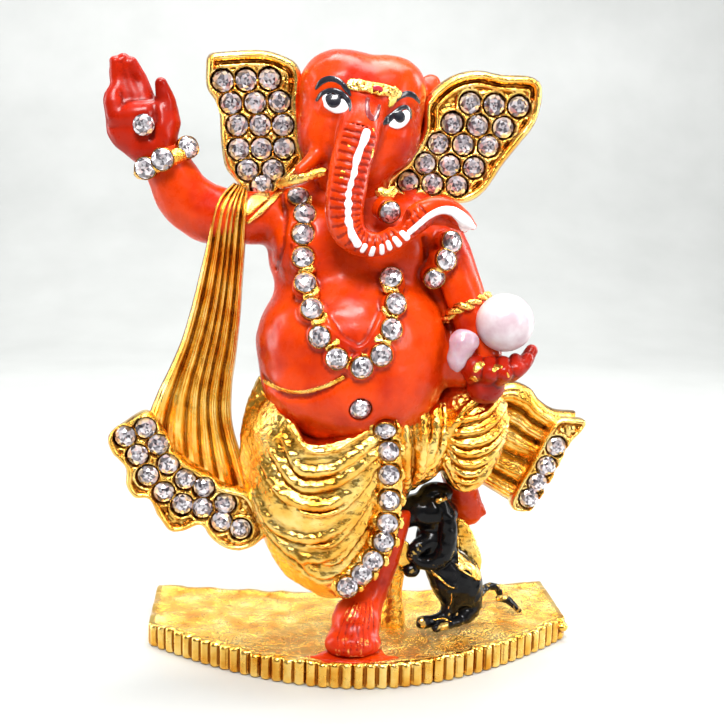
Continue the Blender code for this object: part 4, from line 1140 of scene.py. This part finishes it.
def face_details(head):
    brows = [[(-8.5, 81.4, 0.2), (-7.9, 82.2, 0.4), (-7.0, 82.6, 0.45), (-6.0, 82.5, 0.42),
              (-5.3, 82.1, 0.35)], [(-5.0, 81.8, 0.35), (-4.5, 81.2, 0.35), (-4.1, 80.5, 0.15)],
             [(2.0, 79.9, 0.15), (2.6, 80.6, 0.35), (3.6, 81.0, 0.42), (4.6, 80.8, 0.4), (5.5, 80.1, 0.25)]]
    strokes("painted_brows", head, brows, BLACK_PAINT)
    whites = [[(-7.1, 80.0, 0.65), (-6.4, 79.4, 1.05), (-5.4, 79.1, 0.95), (-4.9, 78.9, 0.5)],
              [(-6.9, 79.3, 0.7), (-5.9, 78.7, 0.6), (-5.2, 78.7, 0.5)],
              [(1.5, 76.9, 0.35), (2.3, 77.1, 0.75), (3.0, 77.7, 0.9), (3.5, 78.3, 0.6)]]
    strokes("painted_eye_whites", head, whites, WHITE_PAINT, lift=0.2)
    dark = [[(-8.4, 79.9, 0.2), (-7.8, 80.7, 0.3), (-6.6, 81.1, 0.35), (-5.4, 80.8, 0.38), (-4.5, 80.0, 0.4),
             (-4.2, 79.0, 0.25), (-4.3, 78.4, 0.12)], [(0.5, 77.0, 0.25), (1.0, 77.5, 0.5), (1.7, 78.2, 0.4),
             (2.6, 79.0, 0.35), (3.5, 79.3, 0.3), (4.1, 78.8, 0.3), (4.2, 77.9, 0.15)]]
    strokes("painted_eye_lids", head, dark, BLACK_PAINT, lift=0.24)
    pupils = [[(-6.7, 80.0, 0.75), (-6.3, 79.7, 0.95), (-6.0, 79.9, 0.8)],
              [(2.2, 78.2, 0.6), (2.6, 77.9, 0.8), (2.5, 78.3, 0.6)]]
    strokes("painted_pupils", head, pupils, BLACK_PAINT, lift=0.3)
    mark = [[(-1.9, 80.0, 0.3), (-2.0, 79.0, 0.35), (-1.8, 77.9, 0.45), (-1.2, 77.5, 0.4),
             (-0.7, 77.9, 0.35), (-0.3, 79.2, 0.25)]]
    strokes("painted_forehead_mark", head, mark, DARK_RED_PAINT, lift=0.12)
    beads = [(-2.2, 75.6, 0.5), (-2.5, 74.7, 0.52), (-2.9, 73.8, 0.38), (-3.2, 73.0, 0.42),
             (-3.5, 72.1, 0.45), (-3.7, 71.2, 0.3), (-3.8, 70.4, 0.4), (-4.1, 69.6, 0.24),
             (-4.2, 69.0, 0.38), (-4.4, 68.3, 0.22), (-4.5, 67.7, 0.42), (-4.5, 67.1, 0.25),
             (-4.5, 66.5, 0.5), (-4.5, 65.9, 0.3), (-4.5, 65.4, 0.42), (-4.5, 64.9, 0.3), (-4.4, 64.2, 0.5),
             (-4.2, 63.6, 0.35), (-4.1, 63.1, 0.4), (-3.9, 62.5, 0.5), (-3.5, 61.9, 0.45), (-3.2, 61.4, 0.5)]
    dashes = [[(-2.2, 61.1, 0.34), (-2.5, 60.5, 0.3)], [(-1.1, 60.8, 0.3), (-1.3, 60.0, 0.34)],
              [(0.0, 61.1, 0.3), (0.1, 60.3, 0.32)], [(0.8, 61.6, 0.3), (1.1, 60.9, 0.34)],
              [(1.7, 62.1, 0.34), (2.3, 61.4, 0.38)], [(2.6, 62.9, 0.34), (3.3, 62.3, 0.42)],
              [(3.6, 63.0, 0.35), (4.3, 63.6, 0.36), (5.2, 64.4, 0.36), (6.4, 65.3, 0.4), (7.9, 65.9, 0.46),
               (9.3, 65.8, 0.55), (10.4, 65.1, 0.7), (11.2, 64.3, 0.8), (11.7, 63.7, 0.75),
               (12.4, 63.6, 0.35)]]
    line = [[(x, z, 1.12 * width) for x, z, width in places] for places in [beads] + dashes]
    strokes("painted_trunk_line", head, line, WHITE_PAINT, lift=0.25)
    chips = [[(-5.2, 82.1, 0.16), (-5.0, 81.7, 0.12)], [(-1.3, 76.1, 0.16), (-1.2, 75.9, 0.12)],
             [(-1.2, 73.6, 0.15), (-1.3, 73.0, 0.18), (-1.4, 72.4, 0.12)],
             [(-4.6, 73.9, 0.14), (-4.3, 73.8, 0.1)], [(-5.4, 70.6, 0.16), (-5.0, 70.5, 0.12)],
             [(-5.6, 69.8, 0.16), (-5.2, 69.8, 0.12)]]
    strokes("bare_gold_chips", head, chips, GOLD_ROUGH, lift=0.06)
    band = [[(-3.9, 81.9, 0.75), (-2.8, 81.8, 0.85), (-1.6, 81.6, 0.8), (-0.2, 81.4, 0.85),
             (1.2, 81.2, 0.75), (2.2, 80.9, 0.65)], [(1.6, 80.8, 0.7), (1.5, 80.0, 0.6), (1.2, 79.4, 0.35)]]
    strokes("forehead_gold", head, band, GOLD_ROUGH, "forehead_band", lift=0.35)
    lumps("forehead_gold_grains", head, (-3.9, 2.2), lambda x: 81.9 - 0.15 * (x + 3.9), 0.6, 26, 0.42)
    gem = [[(-0.9, 81.5, 0.45), (-0.5, 81.5, 0.5), (-0.1, 81.3, 0.4)]]
    strokes("forehead_ruby", head, gem, RUBY, "forehead_gem", lift=0.95)


def rat():
    clay = Clay((1, -7.5, 3.6), (20, 5, 27), 0.15)
    clay.ball((14.0, -1.2, 10.6), (3.9, 3.3, 3.7), 0)
    clay.ball((12.4, -1.6, 12.6), (3.2, 2.8, 2.8), 1.0)
    clay.ball((14.8, -0.8, 8.4), (3.3, 3.0, 2.8), 1.2)
    clay.ball((10.9, -1.8, 16.6), (3.3, 2.6, 4.0), 1.0)
    clay.ball((9.4, -1.8, 21.4), (4.6, 2.9, 2.6), 1.0, turn=(0, 8, 0))
    clay.ball((5.6, -2.0, 20.4), (2.1, 1.8, 1.6), 0.9)
    clay.ball((4.4, -2.2, 22.2), (1.9, 1.4, 1.4), 0.7)
    clay.ball((10.6, -1.2, 24.0), (2.6, 2.0, 1.6), 0.9)
    clay.tube([(11.0, -3.4, 23.2, 1.1), (11.9, -3.8, 21.0, 1.3), (12.1, -4.0, 17.8, 1.4),
               (11.4, -4.0, 15.2, 1.4), (10.2, -3.9, 14.2, 1.2)], 0.3)
    clay.tube([(9.6, -3.2, 17.2, 1.3), (7.6, -3.9, 16.4, 1.2), (7.1, -4.0, 15.2, 1.0),
               (8.2, -4.0, 14.2, 1.0), (9.8, -3.8, 14.0, 1.2)], 0.4)
    clay.ball((6.9, -3.6, 12.9), (1.3, 1.2, 1.1), 0.3)
    clay.tube([(12.4, -2.6, 10.4, 2.2), (13.2, -2.6, 7.8, 1.5), (12.6, -3.0, 5.6, 1.15),
               (11.0, -3.6, 4.9, 0.9)], 0.6)
    clay.tube([(15.8, -1.6, 9.4, 2.3), (16.5, -1.8, 6.8, 1.6), (15.6, -2.6, 5.3, 1.2)], 0.6)
    clay.rod([(11.2, -3.5, 4.9, 0.85), (8.7, -4.2, 4.9, 0.95)], 0.4)
    clay.tube([(17.0, -1.6, 5.4, 0.9), (14.6, -3.4, 4.8, 0.75), (12.4, -4.6, 4.6, 0.65),
               (10.6, -5.5, 4.5, 0.6)], 0.4)
    clay.ball((13, -1, 2.2), (12, 12, 1.9), 0, carve=True)
    clay.groove([(13.6, 8.6), (13.4, 7.0), (13.6, 5.6)], 0.3, 0.5)
    clay.drape([(9.6, 13.0), (11.1, 11.8), (12.5, 10.7), (13.5, 10.5)], 0.22, 0.1, 0.15)
    clay.drape([(13.3, 14.0), (14.6, 12.8), (16.2, 11.8)], 0.22, 0.1, 0.15)
    settle(clay.skin("rat_figure", 0.04, 1.6), BLACK_ENAMEL,
           "mouse_body", "mouse_head", "mouse_ear", "mouse_forearm", "mouse_foot")
    lines = [[(9.8, 13.1, 0.1), (11.1, 11.8, 0.12), (12.3, 10.9, 0.12), (13.2, 10.5, 0.08)],
             [(13.4, 14.0, 0.08), (14.6, 12.8, 0.12), (16.0, 11.9, 0.1)],
             [(12.9, 9.6, 0.05), (13.0, 8.2, 0.08), (12.6, 6.8, 0.05)],
             [(10.4, 5.4, 0.08), (11.8, 5.5, 0.14), (13.0, 5.2, 0.08)]]
    strokes("rat_gold_lines", clay, lines, GOLD_DETAIL, lift=0.08)
    cape = [(13.7, 17.2), (14.2, 19.8), (15.8, 18.8), (17.3, 15.9), (18.3, 13.0), (17.9, 11.0), (16.6, 11.2),
            (15.4, 12.7), (13.7, 13.2), (13.9, 15.4)]
    edge = curve(cape, 0.4, closed=True)
    coat = Clay((12.5, -6, 10), (19.6, 4, 20.8), 0.16)
    gx, gz = coat.plane(2)
    inward, _ = flat_gap(edge, gx, gz)
    near = np.nan_to_num(clay.fronts(coat.axes[0], coat.axes[2]), nan=0.5) - 0.2
    front = near - 0.45 * ridge(np.clip(1.2 - inward, 0, 2), 1.25)
    coat.fill(front, near + 1.4, inward, 0.4)
    settle(coat.skin("rat_cape", 0.05, 0.9), GOLD_DETAIL, "mouse_cape")
    tail = [(17.4, 1.6, 5.0, 0.8), (19.0, 4.4, 5.7, 0.65), (20.8, 6.4, 6.2, 0.6), (22.4, 7.0, 5.8, 0.6),
            (23.0, 7.0, 4.6, 0.5)]
    lay_rod("rat_tail", tail, BLACK_ENAMEL, "mouse_tail")
    tip = [(22.2, 4.8, 4.9, 0.5), (23.4, 3.6, 5.1, 0.6), (24.7, 1.4, 4.3, 0.45)]
    lay_rod("rat_tail_tip", tip, BLACK_ENAMEL)
    fold = Clay((3, -7, 12), (9, -0.5, 19), 0.14)
    for k in range(5):
        spot = 0.62 * k
        fold.rod([(4.9 + spot * 0.5, -3.6, 17.6 - spot * 0.3, 0.35),
                  (4.7 + spot * 0.8, -3.4, 14.2 - 0.25 * k, 0.42)], 0.12)
    settle(fold.skin("rat_sleeve", 0.03, 0.9), GOLD_DETAIL)


GOLD_DETAIL = gold("gold_detail", 0.35, 0.07, 0.18)
GOLD_CLOTH = gold("gold_cloth", 0.30, 0.06, 0.16, pits=0.07, shade=0.85)
GOLD_ROUGH = gold("gold_rough", 0.35, 0.09, 0.22, pits=0.15)
GOLD_BASE = gold("gold_base", 0.45, 0.05, 0.22)
GOLD_FOIL = gold("gold_foil", 0.36, 0.30, 0.22, pits=0.22, shade=0.0)
RED = enamel("red_enamel_coat", (0.66, 0.046, 0.0006), (0.40, 0.013, 0.0004), 0.20)
RED_WORN = enamel("red_enamel_worn", (0.62, 0.034, 0.0006), (0.36, 0.009, 0.0004), 0.24, rubbed=True)
# A darker copy of the red enamel: painted shade for the hands, which stand in shadow.
RED_SHADED = enamel("red_enamel_painted_shade", (0.40, 0.012, 0.0006), (0.22, 0.004, 0.0004), 0.22)
BLACK_ENAMEL = enamel("black_enamel_coat", (0.005, 0.005, 0.006), (0.002, 0.002, 0.002), 0.10, rubbed=True,
                      coat=0.0)
BLACK_PAINT = paint("black_paint", (0.010, 0.010, 0.016))
WHITE_PAINT = paint("white_paint", (0.82, 0.81, 0.84), 0.35)
DARK_RED_PAINT = paint("dark_red_paint", (0.16, 0.010, 0.010))
RUBY = paint("ruby_paint", (0.30, 0.006, 0.014), 0.1)
CRYSTAL = crystal_material()

base_casting()
head = head_clay()
pads(head, "pendant_stone")
settle(head.skin("elephant_head", 0.035, 3.0), RED, "head", "trunk", "right_lip")
face_details(head)
body = body_clay()
pads(body, "necklace_stones", "navel_stone", "armlet_stones")
settle(body.skin("idol_body", 0.04, 3.2), RED,
       "torso", "right_upper_arm", "right_forearm", "left_upper_arm", "left_forearm")
# Both hands take the darker red, as painted shade.
settle(right_hand_clay().skin("raised_palm", 0.03, 2.0), RED_SHADED, "right_hand")
left_hand = left_hand_clay()
settle(left_hand.skin("pearl_hand", 0.03, 2.0), RED_SHADED, "left_hand")
settle(standing_leg_clay().skin("standing_leg_skin", 0.04, 2.0), RED_WORN, "standing_leg")
settle(raised_foot_clay().skin("raised_foot_skin", 0.04, 2.0), RED, "raised_foot")
settle(dhoti_clay().skin("dhoti_cloth", 0.05, 1.1), GOLD_CLOTH, "dhoti")
settle(knee_clay().skin("knee_cloth", 0.04, 1.0), GOLD_CLOTH, "left_knee_drape")
ears()
cloth()
sash()
necklace_links()
rat()

for node in ("necklace_stones", "right_ear_stones", "left_ear_stones", "pendant_stone", "palm_stone",
             "bracelet_stones", "armlet_stones", "navel_stone", "sash_stones", "hem_stones", "scarf_stones"):
    gems(node.replace("stone", "crystal"), node, CRYSTAL)
cups("stone_cups", ["necklace_stones", "pendant_stone", "bracelet_stones", "armlet_stones", "sash_stones"],
     GOLD_DETAIL)


def cords_and_bands():
    wrist = [(-32.0, -2.8, 69.8, 0.9), (-31.4, -6.0, 70.0, 1.0), (-28.6, -7.2, 71.3, 1.1),
             (-26.0, -6.2, 72.6, 1.0), (-25.2, -3.6, 73.2, 0.9), (-26.6, -0.9, 72.6, 0.9),
             (-30.0, -0.6, 71.0, 0.9), (-32.0, -2.8, 69.8, 0.9)]
    lay_rod("right_wrist_band", wrist, GOLD_ROUGH, "right_bracelet")
    cord = [(10.0, -7.2, 50.6, 0.6), (11.0, -8.7, 52.2, 0.75), (12.9, -9.1, 52.9, 0.7),
            (15.0, -7.6, 53.8, 0.6), (16.4, -4.8, 53.8, 0.5), (15.2, -2.8, 52.0, 0.5),
            (12.0, -3.2, 50.2, 0.5), (10.0, -7.2, 50.6, 0.6)]
    lay_rod("left_wrist_cord", cord, GOLD_ROUGH, "left_bracelet", twist=0.6, pitch=1.6)
    worn = [[(13.5, 44.4, 0.35), (14.0, 45.0, 0.5), (14.6, 45.3, 0.3)],
            [(13.4, 43.2, 0.4), (13.9, 42.8, 0.3)],
            [(15.9, 44.6, 0.3), (16.3, 45.0, 0.4), (16.9, 45.1, 0.2)],
            [(17.6, 44.3, 0.12), (17.9, 43.8, 0.2)]]
    strokes("worn_knuckles", left_hand, worn, GOLD_ROUGH, lift=0.1)
    arm = [(*(s.seat - 0.5 * s.way), 1.2) for s in sorted(stones_in("armlet_stones"),
                                                          key=lambda s: s.seat[2])]
    lay_rod("armlet_band", arm, GOLD_ROUGH, "left_armlet")
    thread = [(-14.9, 41.5, 0.3), (-12.6, 41.1, 0.35), (-10.1, 41.2, 0.35), (-7.2, 42.2, 0.35),
              (-4.6, 43.6, 0.3)]
    strokes("belly_thread", body, [thread], GOLD_ROUGH, "sacred_thread", lift=0.3)
    tip = [[(-17.3, 63.5, 0.3), (-15.4, 65.2, 0.45), (-13.1, 67.6, 0.45), (-11.4, 69.0, 0.4)],
           [(-17.4, 64.8, 0.4), (-16.6, 66.2, 0.9), (-15.2, 67.2, 0.8)]]
    strokes("right_ear_tip", body, tip, GOLD_ROUGH, lift=0.4)
    tusk = [(-13.0, -7.4, 68.9, 0.75), (-11.4, -8.6, 69.3, 0.72), (-9.6, -9.2, 69.9, 0.7),
            (-7.4, -9.4, 70.5, 0.65)]
    lay_rod("gold_tusk", tusk, GOLD_ROUGH, "right_tusk")
    mount = [(0.2, -9.6, 68.0, 0.8), (1.0, -9.6, 67.6, 0.9), (1.8, -9.4, 68.2, 0.7)]
    lay_rod("pendant_mount", mount, GOLD_ROUGH, "pendant_setting")
    strut = [(5.0, -1.0, 15.0, 2.0), (4.6, -1.0, 11.6, 1.7), (4.6, -1.0, 8.0, 1.4), (4.6, -1.0, 4.1, 2.0)]
    lay_rod("leg_strut_cast", strut, GOLD_ROUGH, "leg_strut")


def pearl():
    low, high = node_box("pearl")
    centre, r = (low + high) / 2, (high - low)[0] / 2
    work = bmesh.new()
    bmesh.ops.create_icosphere(work, subdivisions=5, radius=r)
    for vert in work.verts:
        x, _, z = vert.co
        seam = math.exp(-((x * 0.5 + z * 0.87 - 0.6) / 0.12) ** 2)
        hole = math.exp(-((x - 1.0) ** 2 + (z - r * 0.9) ** 2) / 0.12)
        vert.co *= 1 - 0.006 * seam - 0.03 * hole
    points = [np.array(v.co) + centre for v in work.verts]
    faces = [[v.index for v in f.verts] for f in work.faces]
    work.free()
    settle(mesh_piece("pearl_bead", points, faces), pearl_material(), "pearl")


def glue():
    clay = Clay((8.5, -14, 42.5), (15.5, -7, 51.5), 0.14)
    clay.ball((11.9, -10.8, 47.8), (1.9, 1.5, 2.1), 0)
    clay.ball((11.2, -10.8, 45.8), (1.3, 1.3, 1.9), 0.8)
    clay.ball((12.9, -10.9, 48.2), (1.2, 1.2, 1.2), 0.6)
    settle(clay.skin("glue_blob", 0.05, 1.8), resin_material(), "glue_bead")


cords_and_bands()
pearl()
glue()


# Stage, light and camera


FLOOR_WIDTH = 900.0
FLOOR_FRONT, FLOOR_BEND, FLOOR_TOP = -400.0, 260.0, 700.0
SWEEP = 200.0
FLOOR_DROP = 0.02


def studio():
    """A plain floor that sweeps up into a plain backdrop."""
    made = new_finish("studio_floor")
    tone = made.ramp(made.noise(30, 3), (0.3, (0.42, 0.43, 0.42)), (0.7, (0.46, 0.47, 0.46)))
    made.done({"Base Color": tone, "Roughness": 0.4})
    profile = [(FLOOR_FRONT, 0.0), (FLOOR_BEND, 0.0)]
    profile += [(FLOOR_BEND + SWEEP * math.sin(a), SWEEP - SWEEP * math.cos(a))
                for a in np.linspace(0.1, math.pi / 2, 24)]
    profile.append((FLOOR_BEND + SWEEP, FLOOR_TOP))
    points = [(side * FLOOR_WIDTH, y, z - FLOOR_DROP) for y, z in profile for side in (-1, 1)]
    faces = [(2 * i, 2 * i + 1, 2 * i + 3, 2 * i + 2) for i in range(len(profile) - 1)]
    floor = mesh_piece("studio_floor", points, faces)
    floor.data.materials.append(made.owner)


def lamp(name, place, aim, size, power, colour=(1, 1, 1)):
    data = bpy.data.lights.new(name, "AREA")
    data.shape = "RECTANGLE"
    data.size, data.size_y = size[0] * MM, size[1] * MM
    data.energy = power
    data.color = colour
    made = bpy.data.objects.new(name, data)
    made.location = Vector(place) * MM
    made.rotation_euler = (Vector(aim) - Vector(place)).to_track_quat("-Z", "Y").to_euler()
    bpy.context.scene.collection.objects.link(made)


def lights():
    """Soft lamps aimed at the middle of the figure, one on the backdrop, and a pale sky."""
    aim = (0, 0, 45)
    lamp("key", (-40, -210, 300), aim, (110, 110), 1.5)
    lamp("fill", (240, -200, 130), aim, (70, 160), 0.35)
    lamp("top", (20, 40, 330), aim, (220, 120), 1.2)
    lamp("rim_left", (-260, 60, 90), aim, (60, 220), 0.4)
    lamp("rim_right", (250, 80, 120), aim, (60, 220), 0.6)
    lamp("backdrop", (0, 150, 420), (0, 460, 110), (800, 80), 2.6)
    sky = Finish(bpy.data.worlds.new("studio"), "Background")
    way = sky.nodes.new("ShaderNodeTexCoord").outputs["Generated"]
    parts = sky.node("SeparateXYZ", way, "Vector", {}).outputs
    height = sky.ramp(parts["Z"], (0.0, (0.16, 0.17, 0.18)), (0.12, (0.22, 0.23, 0.24)),
                      (0.3, (0.75, 0.77, 0.78)),
                      (0.75, (1.0, 1.0, 1.0)))
    behind = sky.remap(parts["Y"], -0.2, 0.5, 0.0, 1.0)
    colour = sky.mix(behind, height, (0.93, 0.95, 0.96))
    bpy.context.scene.world = sky.done({"Color": colour, "Strength": 0.4})


CAMERA_PLACE = (-16.21, -157.26, 70.09)
CAMERA_RIGHT = (0.99533, -0.09350, 0.02409)
CAMERA_UP = (-0.00805, 0.16831, 0.98570)
LENS, SENSOR, NEAREST = 54.7, 36, 0.005


def camera():
    right, up = Vector(CAMERA_RIGHT), Vector(CAMERA_UP)
    data = bpy.data.cameras.new("camera")
    data.lens, data.sensor_width, data.clip_start = LENS, SENSOR, NEAREST
    made = bpy.data.objects.new("camera", data)
    turn = Matrix((right, up, right.cross(up))).transposed()
    made.matrix_world = Matrix.Translation(Vector(CAMERA_PLACE) * MM) @ turn.to_4x4()
    bpy.context.scene.collection.objects.link(made)
    bpy.context.scene.camera = made
    bpy.context.scene.view_settings.view_transform = "Standard"


studio()
lights()
camera()
